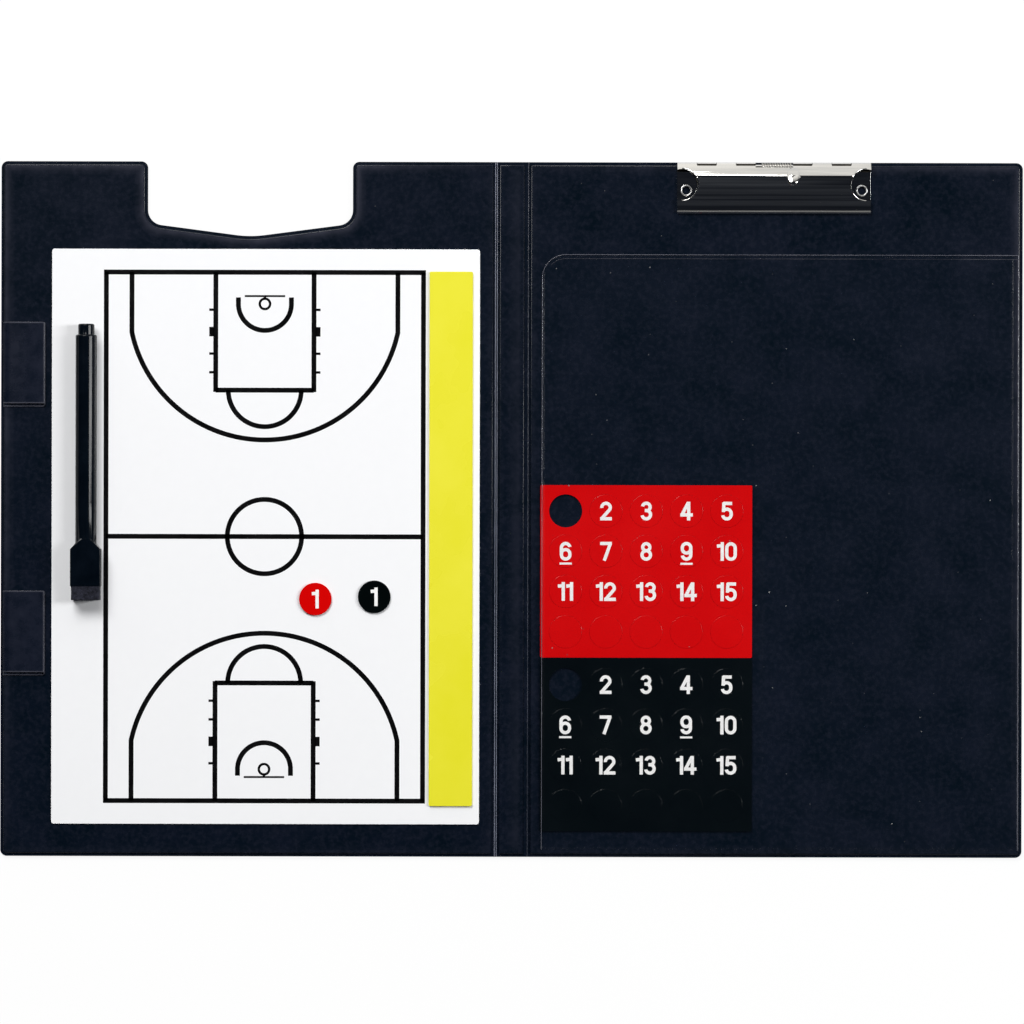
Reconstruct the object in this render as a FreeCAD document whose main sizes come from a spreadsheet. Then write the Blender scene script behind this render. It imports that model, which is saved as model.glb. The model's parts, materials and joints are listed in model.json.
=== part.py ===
import FreeCAD, Part
import math
import os
import Sketcher

# Folding tactics board, lying open with its inside face up.
# Millimetres. X runs across the two covers, Y up the page, Z out of the page.
# The origin is at the middle of the open board, on the surface that it lies on.

SIZES = {
    # covers and spine
    "cover_height": 320.0,
    "cover_width": 228.0,
    "spine_width": 14.4,
    "skin_thickness": 0.4,
    "board_thickness": 2.0,
    "board_play": 0.05,
    "weld_rim": 2.2,
    "hinge_rim": 1.7,
    "cover_corner": 3.0,
    "board_corner": 2.0,
    "skin_round": 0.9,
    "bead_radius": 0.6,
    "hinge_play": 0.05,
    # notch that clears the clip when the board is shut
    "notch_clearance": 2.7,
    "notch_reach": 5.1,
    "notch_dip": 6.2,
    "notch_corner": 7.0,
    "notch_crown": 12.0,
    # steel whiteboard on the front cover
    "whiteboard_spine_margin": 7.5,
    "whiteboard_loop_gap": 2.9,
    "whiteboard_notch_gap": 5.65,
    "whiteboard_foot_margin": 14.95,
    "whiteboard_thickness": 0.5,
    "whiteboard_corner": 1.2,
    "tape_thickness": 0.15,
    "tape_inset": 4.0,
    # magnets on the whiteboard
    "magnet_gap": 0.05,
    "strip_width": 20.0,
    "strip_thickness": 1.0,
    "strip_corner": 0.8,
    "strip_edge_gap": 3.2,
    "strip_end_margin": 9.35,
    "strip_shift": 0.9,
    "disc_radius": 7.5,
    "disc_thickness": 1.0,
    "black_disc_gap": 25.2,
    "disc_spacing": 27.1,
    "red_disc_drop": 28.7,
    "black_disc_drop": 27.6,
    # punched magnet sheets in the pocket
    "sheet_web": 3.31,
    "sheet_side_margin": 4.03,
    "sheet_end_margin": 4.255,
    "sheet_thickness": 0.9,
    "sheet_corner": 0.6,
    "sheet_spine_margin": 6.1,
    "sheet_foot_margin": 12.0,
    "sheet_gap": 0.5,
    "punch_gap": 0.12,
    # clear pocket film
    "film_thickness": 0.25,
    "film_spine_margin": 6.6,
    "film_drop": 42.4,
    "film_corner": 11.0,
    "film_edge_margin": 1.2,
    "film_clearance": 0.1,
    "film_margin": 1.0,
    "film_slope_run": 7.0,
    # spring clip at the top of the back cover
    "clip_shift": 0.7,
    "clip_width": 89.0,
    "clip_depth": 23.4,
    "clip_sheet": 0.9,
    "clip_pin_radius": 0.9,
    "clip_pin_play": 0.05,
    "clip_pin_inset": 2.1,
    "clip_knuckle_play": 0.2,
    "clip_base_corner": 2.0,
    "clip_rise": 35.0,
    "clip_fall": 20.8,
    "clip_lip_rise": 52.0,
    "clip_lip_length": 1.7,
    "clip_land": 1.7,
    "clip_land_inset": 1.2,
    "clip_ridge_radius": 7.0,
    "clip_heel_radius": 3.0,
    "clip_lip_radius": 1.2,
    "clip_paper_gap": 0.05,
    "clip_cutout_radius": 7.1,
    "clip_cutout_inset": 2.1,
    "clip_cutout_drop": 10.4,
    "clip_boss_offset": 8.3,
    "clip_boss_width": 5.0,
    "clip_boss_length": 7.0,
    "clip_boss_height": 1.1,
    # spring round the clip's pin
    "spring_wire": 0.7,
    "spring_play": 0.1,
    "spring_pitch": 1.16,
    "spring_turns": 11.0,
    "spring_offset": 0.9,
    "spring_base_rise": 12.0,
    "spring_base_reach": 4.5,
    "spring_clamp_rise": 62.0,
    "spring_clamp_reach": 2.2,
    "spring_seat": 0.03,
    "spring_side_gap": 0.66,
    "spring_window_radius": 2.6,
    "spring_window_depth": 4.2,
    # rivets that hold the clip's base
    "rivet_end_inset": 4.1,
    "rivet_drop": 13.0,
    "rivet_shank": 2.35,
    "rivet_hole": 1.85,
    "rivet_rim": 2.7,
    "rivet_rim_height": 0.7,
    "rivet_head": 3.5,
    "rivet_head_height": 0.5,
    "rivet_play": 0.05,
    # marker pen
    "pen_margin": 16.2,
    "pen_drop": 34.75,
    "pen_lift": 0.1,
    "pen_radius": 4.9,
    "pen_wall": 1.0,
    "pen_play": 0.05,
    "pen_shoulder": 0.8,
    "plug_length": 5.0,
    "plug_radius": 3.75,
    "plug_spigot": 8.0,
    "barrel_length": 77.1,
    "reservoir_gap": 3.1,
    "reservoir_radius": 3.5,
    "section_spigot": 8.0,
    "section_radius": 3.5,
    "section_length": 12.0,
    "section_nose": 2.4,
    "section_nose_length": 3.0,
    "nib_radius": 1.4,
    "nib_reach": 4.0,
    "nib_seat": 4.0,
    "nib_tip": 0.7,
    # cap with the felt eraser
    "cap_tube": 16.6,
    "cap_shoulder": 4.8,
    "cap_block": 16.9,
    "cap_width": 13.9,
    "cap_neck_width": 5.0,
    "cap_edge": 0.5,
    "cap_bore_play": 0.1,
    "cap_air": 2.0,
    "seal_bore": 2.1,
    "cap_side_rim": 0.3,
    "cap_face_rim": 0.25,
    "felt_reach": 6.6,
    "felt_socket": 3.4,
    "felt_play": 0.05,
    "felt_round": 0.8,
    # vinyl pen loops at the fore edge
    "loop_length": 39.0,
    "loop_width": 19.4,
    "loop_vinyl": 0.5,
    "loop_gap": 0.9,
    "loop_hinge_inset": 1.2,
    "loop_bead": 0.45,
    "loop_clearance": 0.1,
    "loop_neck": 2.4,
    "upper_loop_drop": 93.6,
    "lower_loop_rise": 102.7,
}

SHEET_COLUMNS = 5
SHEET_ROWS = 4
PLAIN_ROW = SHEET_ROWS - 1
KNUCKLES_A_SIDE = 4


class Size:
    """A size that is known both as a number and as a spreadsheet expression."""

    def __init__(self, value, text):
        self.value = value
        self.text = text

    def __add__(self, other):
        other = as_size(other)
        return Size(self.value + other.value, f"({self.text} + {other.text})")

    def __sub__(self, other):
        other = as_size(other)
        return Size(self.value - other.value, f"({self.text} - {other.text})")

    def __mul__(self, other):
        other = as_size(other)
        return Size(self.value * other.value, f"({self.text} * {other.text})")

    def __truediv__(self, other):
        other = as_size(other)
        return Size(self.value / other.value, f"({self.text} / {other.text})")

    def __neg__(self):
        return Size(-self.value, f"(-1 * {self.text})")

    def __radd__(self, other):
        return as_size(other) + self

    def __rsub__(self, other):
        return as_size(other) - self

    def __rmul__(self, other):
        return as_size(other) * self


def as_size(number):
    if isinstance(number, Size):
        return number
    return Size(float(number), f"({number})")


def sine(angle):
    return Size(math.sin(math.radians(angle.value)), f"sin({angle.text} * 1 deg)")


def cosine(angle):
    return Size(math.cos(math.radians(angle.value)), f"cos({angle.text} * 1 deg)")


def tangent(angle):
    return Size(math.tan(math.radians(angle.value)), f"tan({angle.text} * 1 deg)")


class SizeTable:
    """The driving dimensions, kept in the document's spreadsheet."""

    def __init__(self, document, values):
        self.sizes = {}
        sheet = document.addObject("Spreadsheet::Sheet", "Sizes")
        for row, (name, value) in enumerate(values.items(), start=1):
            sheet.set(f"A{row}", name)
            sheet.set(f"B{row}", str(value))
            sheet.setAlias(f"B{row}", name)
            self.sizes[name] = Size(value, f"Sizes.{name}")
        document.recompute()

    def __getattr__(self, name):
        return self.sizes[name]


doc = FreeCAD.newDocument("TacticsBoard")
dim = SizeTable(doc, SIZES)

# Levels and places that several pieces share.
cover_thickness = dim.board_thickness + 2 * dim.skin_thickness
middle = cover_thickness / 2
cover_top = dim.cover_height / 2
hinge_x = dim.spine_width / 2
cover_edge = hinge_x + dim.cover_width
clip_centre = hinge_x + dim.cover_width / 2 - dim.clip_shift
notch_width = dim.clip_width + 2 * dim.notch_clearance
notch_side_depth = dim.clip_depth + dim.notch_reach
notch_centre_depth = notch_side_depth + dim.notch_dip
whiteboard_spine_edge = hinge_x + dim.whiteboard_spine_margin
whiteboard_fore_edge = cover_edge - dim.loop_hinge_inset - dim.loop_width - dim.whiteboard_loop_gap
whiteboard_width = whiteboard_fore_edge - whiteboard_spine_edge
whiteboard_x = -(whiteboard_spine_edge + whiteboard_width / 2)
whiteboard_top = cover_top - notch_centre_depth - dim.whiteboard_notch_gap
whiteboard_height = whiteboard_top + cover_top - dim.whiteboard_foot_margin
whiteboard_y = whiteboard_top - whiteboard_height / 2
steel_bottom = cover_thickness + dim.tape_thickness
steel_top = steel_bottom + dim.whiteboard_thickness
magnet_level = steel_top + dim.magnet_gap
strip_x = whiteboard_spine_edge + dim.strip_edge_gap + dim.strip_width / 2
black_disc_x = strip_x + dim.strip_width / 2 + dim.black_disc_gap
sheet_level = cover_thickness + dim.magnet_gap
hole_radius = dim.disc_radius + dim.punch_gap
sheet_pitch = 2 * hole_radius + dim.sheet_web
sheet_width = sheet_pitch * (SHEET_COLUMNS - 1) + 2 * (hole_radius + dim.sheet_side_margin)
sheet_height = sheet_pitch * (SHEET_ROWS - 1) + 2 * (hole_radius + dim.sheet_end_margin)
sheet_edge = hinge_x + dim.sheet_spine_margin
sheet_x = sheet_edge + sheet_width / 2
black_sheet_y = dim.sheet_foot_margin + sheet_height / 2 - cover_top
red_sheet_y = black_sheet_y + sheet_height + dim.sheet_gap
film_edge = hinge_x + dim.film_spine_margin
film_top = cover_top - dim.film_drop
spring_swing = (180 - dim.spring_clamp_rise + dim.spring_base_rise) / 360
spring_length = dim.spring_pitch * (dim.spring_turns + spring_swing)
spring_window = spring_length + dim.spring_wire + 2 * (dim.spring_offset + dim.spring_side_gap)
knuckle_width = (dim.clip_width - spring_window) / (2 * KNUCKLES_A_SIDE)
knuckle_bore = dim.clip_pin_radius + dim.clip_pin_play
knuckle_radius = knuckle_bore + dim.clip_sheet
clip_base_top = cover_thickness + dim.clip_sheet
pin_y = cover_top - dim.clip_pin_inset
pin_z = cover_thickness + knuckle_radius
rivet_y = cover_top - dim.rivet_drop
rivet_bore = dim.rivet_shank + dim.rivet_play
pen_x = dim.pen_margin - whiteboard_fore_edge
pen_tail = whiteboard_top - dim.pen_drop
cap_thickness = 2 * dim.pen_radius
felt_width = dim.cap_width - 2 * (dim.cap_side_rim + dim.felt_play)
felt_thickness = cap_thickness - 2 * (dim.cap_face_rim + dim.felt_play)
pen_z = steel_top + dim.pen_lift + dim.pen_radius
pen_bore = dim.pen_radius - dim.pen_wall
reservoir_start = dim.plug_length + dim.plug_spigot
barrel_end = dim.plug_length + dim.barrel_length
section_end = barrel_end + dim.section_length
reservoir_end = barrel_end - dim.section_spigot - dim.reservoir_gap
cap_end = barrel_end + dim.cap_tube + dim.cap_shoulder + dim.cap_block
cap_bore = dim.section_radius + dim.cap_bore_play
cap_floor = section_end + dim.nib_reach + dim.cap_air


# Sketch helpers.

def vector(x, y):
    return FreeCAD.Vector(x, y, 0)


def bind(item, path, size):
    item.setExpression(path, as_size(size).text)


def new_body(label):
    body = doc.addObject("PartDesign::Body", label)
    body.Label = label
    return body


def new_sketch(body, plane, shift=(0, 0, 0)):
    """A sketch on one of the body's own origin planes, shifted along that plane's axes."""
    sketch = body.newObject("Sketcher::SketchObject", "Sketch")
    support = next(item for item in body.Origin.OriginFeatures if item.Role == plane)
    sketch.AttachmentSupport = [(support, "")]
    sketch.MapMode = "FlatFace"
    for axis, amount in zip("xyz", shift):
        bind(sketch, f"AttachmentOffset.Base.{axis}", amount)
    return sketch


def add_size(sketch, kind, size, *places):
    """A dimension of the sketch that follows the spreadsheet."""
    index = sketch.addConstraint(Sketcher.Constraint(kind, *places, as_size(size).value))
    bind(sketch, f"Constraints[{index}]", size)


def pin_point(sketch, item, vertex, x, y):
    add_size(sketch, "DistanceX", x, -1, 1, item, vertex)
    add_size(sketch, "DistanceY", y, -1, 1, item, vertex)


def circle(sketch, x, y, radius):
    x, y, radius = as_size(x), as_size(y), as_size(radius)
    shape = Part.Circle(vector(x.value, y.value), FreeCAD.Vector(0, 0, 1), radius.value)
    item = sketch.addGeometry(shape, False)
    pin_point(sketch, item, 3, x, y)
    add_size(sketch, "Radius", radius, item)


def corner_arc(before, corner, after, radius):
    """The rounding of one corner: its two ends, its arc and whether it turns left."""
    arrive = (corner - before).normalize()
    leave = (after - corner).normalize()
    turn = math.atan2(arrive.x * leave.y - arrive.y * leave.x, arrive.dot(leave))
    reach = radius * math.tan(abs(turn) / 2)
    start = corner - arrive * reach
    end = corner + leave * reach
    side = math.copysign(1.0, turn)
    centre = start + vector(-arrive.y, arrive.x) * (radius * side)
    first, last = (start, end) if turn > 0 else (end, start)
    angles = [math.atan2(point.y - centre.y, point.x - centre.x) for point in (first, last)]
    rim = Part.Circle(centre, FreeCAD.Vector(0, 0, 1), radius)
    return start, end, Part.ArcOfCircle(rim, angles[0], angles[1]), turn > 0


def outline(sketch, corners):
    """A closed outline through corners (x, y) or (x, y, radius)."""
    corners = [tuple(as_size(entry) for entry in corner) for corner in corners]
    places = [vector(corner[0].value, corner[1].value) for corner in corners]
    count = len(corners)
    starts, ends, arcs = list(places), list(places), {}
    for index, corner in enumerate(corners):
        if len(corner) == 3:
            around = places[index - 1], places[index], places[(index + 1) % count]
            ends[index], starts[index], arc, left = corner_arc(*around, corner[2].value)
            arcs[index] = arc, left
    marks = [sketch.addGeometry(Part.Point(place), True) for place in places]
    for mark, corner in zip(marks, corners):
        pin_point(sketch, mark, 1, corner[0], corner[1])
    lines = []
    for index in range(count):
        side = Part.LineSegment(starts[index], ends[(index + 1) % count])
        lines.append(sketch.addGeometry(side, False))
    for index, corner in enumerate(corners):
        before, after, mark = lines[index - 1], lines[index], marks[index]
        if index not in arcs:
            sketch.addConstraint(Sketcher.Constraint("Coincident", before, 2, mark, 1))
            sketch.addConstraint(Sketcher.Constraint("Coincident", after, 1, mark, 1))
            continue
        arc, left = arcs[index]
        item = sketch.addGeometry(arc, False)
        first, last = (1, 2) if left else (2, 1)
        sketch.addConstraint(Sketcher.Constraint("PointOnObject", mark, 1, before))
        sketch.addConstraint(Sketcher.Constraint("PointOnObject", mark, 1, after))
        sketch.addConstraint(Sketcher.Constraint("Tangent", before, 2, item, first))
        sketch.addConstraint(Sketcher.Constraint("Tangent", item, last, after, 1))
        add_size(sketch, "Radius", corner[2], item)


def rectangle(sketch, x, y, width, height, corner=None):
    """A rectangle centred on (x, y)."""
    x, y = as_size(x), as_size(y)
    signs = [(-1, -1), (1, -1), (1, 1), (-1, 1)]
    rounding = () if corner is None else (corner,)
    outline(sketch, [(x + width * i / 2, y + height * j / 2) + rounding for i, j in signs])


# Feature helpers.

def volume(body):
    doc.recompute()
    return body.Shape.Volume


def pad(body, sketch, length, symmetric=False, reverse=False):
    feature = body.newObject("PartDesign::Pad", "Pad")
    feature.Profile = sketch
    feature.Midplane = symmetric
    feature.Reversed = reverse
    bind(feature, "Length", length)
    doc.recompute()
    return feature


def pocket(body, sketch, length, symmetric=False, reverse=False):
    """A cut along the sketch's normal, or against it; it has to take material away."""
    before = volume(body)
    feature = body.newObject("PartDesign::Pocket", "Pocket")
    feature.Profile = sketch
    feature.Midplane = symmetric
    feature.Reversed = reverse
    bind(feature, "Length", length)
    if not volume(body) < before:
        raise RuntimeError(f"a pocket of {body.Label} cuts nothing")
    return feature


def revolve(body, sketch):
    feature = body.newObject("PartDesign::Revolution", "Revolution")
    feature.Profile = sketch
    feature.ReferenceAxis = (sketch, ["V_Axis"])
    feature.Angle = 360.0
    doc.recompute()
    return feature


def loft(body, kind, first, last):
    feature = body.newObject(f"PartDesign::{kind}Loft", "Loft")
    feature.Profile = first
    feature.Sections = [last]
    feature.Ruled = True
    doc.recompute()
    return feature


def flat_face(shape, direction):
    """The name of the flat face that lies furthest along a direction."""
    best, name = None, None
    for index, face in enumerate(shape.Faces, start=1):
        if not isinstance(face.Surface, Part.Plane):
            continue
        if face.normalAt(0, 0).dot(direction) > 0.999:
            reach = face.CenterOfMass.dot(direction)
            if best is None or reach > best:
                best, name = reach, f"Face{index}"
    return name


def round_face(body, direction, radius):
    """Rounds the edges of the flat face that lies furthest along a direction."""
    base = body.Tip
    feature = body.newObject("PartDesign::Fillet", "Fillet")
    feature.Base = (base, [flat_face(base.Shape, FreeCAD.Vector(*direction))])
    bind(feature, "Radius", radius)
    doc.recompute()
    return feature


UP = (0, 0, 1)
DOWN = (0, 0, -1)


# Covers and spine: a stiff board between two vinyl skins that are welded round its edge.

def cover_corners(side, inset, hinge_inset, corner, notched):
    """The outline of one cover, drawn in from its edges by an inset."""
    top = cover_top - inset
    hinge = (hinge_x + hinge_inset) * side
    edge = (cover_edge - inset) * side
    corners = [(hinge, -top), (edge, -top, corner), (edge, top, corner)]
    if notched:
        centre = clip_centre * side
        reach = (notch_width / 2 + inset) * side
        floor = cover_top - notch_side_depth - inset
        crown = cover_top - notch_centre_depth - inset
        corners += [
            (centre + reach, top, corner),
            (centre + reach, floor, dim.notch_corner + inset),
            (centre, crown, dim.notch_crown + inset),
            (centre - reach, floor, dim.notch_corner + inset),
            (centre - reach, top, corner),
        ]
    return corners + [(hinge, top)]


def cut_hinge_groove(body, x, radius):
    groove = new_sketch(body, "XZ_Plane")
    circle(groove, x, middle, radius)
    pocket(body, groove, dim.cover_height + 2 * dim.weld_rim, symmetric=True)


def skin(label, flange, crown, cavity, up):
    """One vinyl skin: a raised field over the board, hollow behind, with a flat weld rim."""
    body = new_body(label)
    level = (0, 0, middle)
    raised = new_sketch(body, "XY_Plane", level)
    outline(raised, crown)
    pad(body, raised, cover_thickness / 2, reverse=not up)
    round_face(body, UP if up else DOWN, dim.skin_round)
    rim = new_sketch(body, "XY_Plane", level)
    outline(rim, flange)
    pad(body, rim, dim.skin_thickness, reverse=not up)
    hollow = new_sketch(body, "XY_Plane", level)
    outline(hollow, cavity)
    pocket(body, hollow, dim.board_thickness / 2, reverse=up)
    return body


def cover_skin(label, side, up, notched):
    wall = dim.weld_rim + dim.skin_thickness
    hinge_wall = dim.hinge_rim + dim.skin_thickness
    crown_corner = dim.board_corner + dim.skin_thickness
    flange = cover_corners(side, as_size(0), as_size(0), dim.cover_corner, notched)
    crown = cover_corners(side, dim.weld_rim, dim.hinge_rim, crown_corner, notched)
    cavity = cover_corners(side, wall, hinge_wall, dim.board_corner, notched)
    body = skin(label, flange, crown, cavity, up)
    cut_hinge_groove(body, hinge_x * side, dim.bead_radius + dim.hinge_play)
    return body


def cover_board(label, side, notched):
    inset = dim.weld_rim + dim.skin_thickness + dim.board_play
    hinge_inset = dim.hinge_rim + dim.skin_thickness + dim.board_play
    body = new_body(label)
    plan = new_sketch(body, "XY_Plane", (0, 0, dim.skin_thickness))
    outline(plan, cover_corners(side, inset, hinge_inset, dim.board_corner, notched))
    pad(body, plan, dim.board_thickness)
    return body


def box_corners(half_width, half_height):
    signs = [(-1, -1), (1, -1), (1, 1), (-1, 1)]
    return [(half_width * i, half_height * j) for i, j in signs]


def spine_skin(label, up):
    wall = dim.skin_thickness
    width = hinge_x - dim.hinge_rim
    height = cover_top - dim.weld_rim
    flange = box_corners(hinge_x, cover_top)
    crown = box_corners(width, height)
    cavity = box_corners(width - wall, height - wall)
    return skin(label, flange, crown, cavity, up)


def spine_outer_skin():
    """The outer skin carries the two weld beads that the covers turn about."""
    body = spine_skin("spine_outer_skin", False)
    for side in (-1, 1):
        bead = new_sketch(body, "XZ_Plane")
        circle(bead, hinge_x * side, middle, dim.bead_radius)
        pad(body, bead, dim.cover_height, symmetric=True)
    return body


def spine_inner_skin():
    body = spine_skin("spine_inner_skin", True)
    for side in (-1, 1):
        cut_hinge_groove(body, hinge_x * side, dim.bead_radius + dim.board_play)
    return body


def spine_board():
    inset = dim.skin_thickness + dim.board_play
    body = new_body("spine_board")
    plan = new_sketch(body, "XY_Plane", (0, 0, dim.skin_thickness))
    outline(plan, box_corners(hinge_x - dim.hinge_rim - inset, cover_top - dim.weld_rim - inset))
    pad(body, plan, dim.board_thickness)
    return body


def rivet_places():
    reach = dim.clip_width / 2 - dim.rivet_end_inset
    return [clip_centre + reach * side for side in (-1, 1)]


def bore_for_rivets(body, level, depth, radius):
    holes = new_sketch(body, "XY_Plane", (0, 0, level))
    for x in rivet_places():
        circle(holes, x, rivet_y, radius)
    pocket(body, holes, depth, reverse=True)


def back_inner_skin():
    body = cover_skin("back_inner_skin", 1, True, False)
    bore_for_rivets(body, middle, cover_thickness, rivet_bore)
    return body


def back_board():
    body = cover_board("back_board", 1, False)
    bore_for_rivets(body, dim.skin_thickness, dim.board_thickness, rivet_bore)
    seat = dim.rivet_head + dim.rivet_play
    bore_for_rivets(body, dim.skin_thickness, dim.rivet_head_height, seat)
    return body


# Whiteboard and the magnets on it.

def plate(label, x, y, level, width, height, thickness, corner):
    body = new_body(label)
    plan = new_sketch(body, "XY_Plane", (0, 0, level))
    rectangle(plan, x, y, width, height, corner)
    pad(body, plan, thickness)
    return body


def whiteboard_tape():
    width = whiteboard_width - 2 * dim.tape_inset
    height = whiteboard_height - 2 * dim.tape_inset
    return plate("whiteboard_tape", whiteboard_x, whiteboard_y, cover_thickness,
                 width, height, dim.tape_thickness, dim.whiteboard_corner)


def whiteboard_sheet():
    return plate("whiteboard_sheet", whiteboard_x, whiteboard_y, steel_bottom, whiteboard_width,
                 whiteboard_height, dim.whiteboard_thickness, dim.whiteboard_corner)


def yellow_strip():
    length = whiteboard_height - 2 * dim.strip_end_margin
    return plate("yellow_strip", -strip_x, whiteboard_y - dim.strip_shift, magnet_level,
                 dim.strip_width, length, dim.strip_thickness, dim.strip_corner)


def loose_disc(label, offset, drop):
    body = new_body(label)
    plan = new_sketch(body, "XY_Plane", (0, 0, magnet_level))
    circle(plan, -offset, whiteboard_y - drop, dim.disc_radius)
    pad(body, plan, dim.disc_thickness)
    return body


# Punched magnet sheets: a frame with round holes, and the discs that sit in them.

def sheet_place(middle_y, column, row):
    x = sheet_x + sheet_pitch * (column - (SHEET_COLUMNS - 1) / 2)
    y = middle_y - sheet_pitch * (row - (SHEET_ROWS - 1) / 2)
    return x, y


def sheet_cells():
    return [(column, row) for row in range(SHEET_ROWS) for column in range(SHEET_COLUMNS)]


def sheet_frame(label, middle_y):
    body = plate(label, sheet_x, middle_y, sheet_level, sheet_width, sheet_height,
                 dim.sheet_thickness, dim.sheet_corner)
    holes = new_sketch(body, "XY_Plane", (0, 0, sheet_level))
    for column, row in sheet_cells():
        x, y = sheet_place(middle_y, column, row)
        circle(holes, x, y, hole_radius)
    pocket(body, holes, dim.sheet_thickness, reverse=True)
    return body


def sheet_discs(label, middle_y, cells):
    body = new_body(label)
    body.AllowCompound = True
    plan = new_sketch(body, "XY_Plane", (0, 0, sheet_level))
    for column, row in cells:
        x, y = sheet_place(middle_y, column, row)
        circle(plan, x, y, dim.disc_radius)
    pad(body, plan, dim.sheet_thickness)
    return body


def magnet_sheet(colour, middle_y):
    """The first cell is empty, because its disc is out on the whiteboard."""
    numbered = [cell for cell in sheet_cells() if cell[1] != PLAIN_ROW and cell != (0, 0)]
    plain = [cell for cell in sheet_cells() if cell[1] == PLAIN_ROW]
    return [
        sheet_frame(f"{colour}_sheet", middle_y),
        sheet_discs(f"{colour}_numbered_discs", middle_y, numbered),
        sheet_discs(f"{colour}_plain_discs", middle_y, plain),
    ]


# Clear pocket: a film that is free along its spine and top edges and rises over the sheets.

def film_rise(body, level, overhang):
    """The two sections of the rise over the magnet sheets, the lower one first."""
    left = film_edge - overhang
    right = sheet_edge + sheet_width + dim.film_margin
    top = red_sheet_y + sheet_height / 2 + dim.film_margin
    bottom = black_sheet_y - sheet_height / 2 - dim.film_margin
    height = dim.magnet_gap + dim.sheet_thickness + dim.film_clearance + dim.film_thickness
    sections = []
    for spread, lift in ((dim.film_slope_run, as_size(0)), (as_size(0), height)):
        section = new_sketch(body, "XY_Plane", (0, 0, level + lift))
        outline(section, [
            (left, bottom - spread),
            (right + spread, bottom - spread),
            (right + spread, top + spread),
            (left, top + spread),
        ])
        sections.append(section)
    return sections


def pocket_film():
    margin = dim.weld_rim + dim.film_edge_margin
    body = new_body("pocket_film")
    plan = new_sketch(body, "XY_Plane", (0, 0, cover_thickness))
    outline(plan, [
        (film_edge, margin - cover_top),
        (cover_edge - margin, margin - cover_top),
        (cover_edge - margin, film_top),
        (film_edge, film_top, dim.film_corner),
    ])
    pad(body, plan, dim.film_thickness)
    loft(body, "Additive", *film_rise(body, cover_thickness, as_size(0)))
    loft(body, "Subtractive",
         *film_rise(body, cover_thickness - dim.film_thickness, dim.film_margin))
    return body


# Spring clip: two rolled steel plates on one pin, with a torsion spring between them.

def knuckle_spans(first):
    """The middles of every other knuckle, starting at the given one beside the spring."""
    places = []
    for side in (-1, 1):
        for index in range(first, KNUCKLES_A_SIDE, 2):
            places.append(clip_centre + (spring_window / 2 + knuckle_width * (index + 0.5)) * side)
    return places


def cut_round_pin(body, x, length, radius):
    section = new_sketch(body, "YZ_Plane", (0, 0, x))
    circle(section, pin_y, pin_z, radius)
    pocket(body, section, length, symmetric=True)


def roll_knuckles(body, other_first):
    """A rolled tube along the pin, cut away where the other plate's knuckles turn."""
    tube = new_sketch(body, "YZ_Plane", (0, 0, clip_centre))
    circle(tube, pin_y, pin_z, knuckle_radius)
    pad(body, tube, dim.clip_width, symmetric=True)
    play = dim.clip_knuckle_play
    for x in knuckle_spans(other_first):
        cut_round_pin(body, x, knuckle_width + play, knuckle_radius + play)
    cut_round_pin(body, clip_centre, spring_window + play, dim.spring_window_radius)
    cut_round_pin(body, clip_centre, dim.clip_width + play, knuckle_bore)


def clip_base():
    body = new_body("clip_base")
    front = cover_top - dim.clip_depth
    depth = pin_y - front
    plan = new_sketch(body, "XY_Plane", (0, 0, cover_thickness))
    right = clip_centre + dim.clip_width / 2
    left = clip_centre - dim.clip_width / 2
    outline(plan, [
        (left, front, dim.clip_base_corner),
        (right, front, dim.clip_base_corner),
        (right, front + depth),
        (left, front + depth),
    ])
    pad(body, plan, dim.clip_sheet)
    roll_knuckles(body, 1)
    window = new_sketch(body, "XY_Plane", (0, 0, cover_thickness))
    rectangle(window, clip_centre, pin_y, spring_window, 2 * dim.spring_window_depth)
    pocket(body, window, 2 * knuckle_radius, reverse=True)
    bore_for_rivets(body, cover_thickness, dim.clip_sheet, rivet_bore)
    return body


def along(angle):
    """The direction down the clamp plate from the pin, at an angle above level."""
    return -cosine(angle), sine(angle)


def across(angle):
    """The direction square to that, on the plate's upper side."""
    return sine(angle), cosine(angle)


def step(place, direction, length):
    return place[0] + direction[0] * length, place[1] + direction[1] * length


def bend_offset(place, before, after, offset):
    """A bend of the clamp's middle line, moved to one face of the sheet."""
    moved = step(place, across(before), offset)
    return step(moved, along(before), offset * tangent((before - after) / 2))


def clamp_line():
    """The middle line of the clamp's sheet: its bends and the angles of its runs."""
    land_z = clip_base_top + dim.clip_paper_gap + dim.clip_sheet / 2
    rolled = knuckle_bore + dim.clip_sheet / 2
    start = step((pin_y, pin_z), across(dim.clip_rise), rolled)
    tip = (cover_top - dim.clip_depth + dim.clip_land_inset, land_z)
    heel = (tip[0] + dim.clip_land, land_z)
    # the ridge is where the rising run meets the falling one
    span = start[0] - heel[0]
    drop = start[1] - heel[1]
    slopes = tangent(dim.clip_rise) + tangent(dim.clip_fall)
    run = (span * tangent(dim.clip_fall) - drop) / slopes
    ridge = (start[0] - run, start[1] + run * tangent(dim.clip_rise))
    end = step(tip, along(dim.clip_lip_rise), dim.clip_lip_length)
    return start, ridge, heel, tip, end


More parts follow.
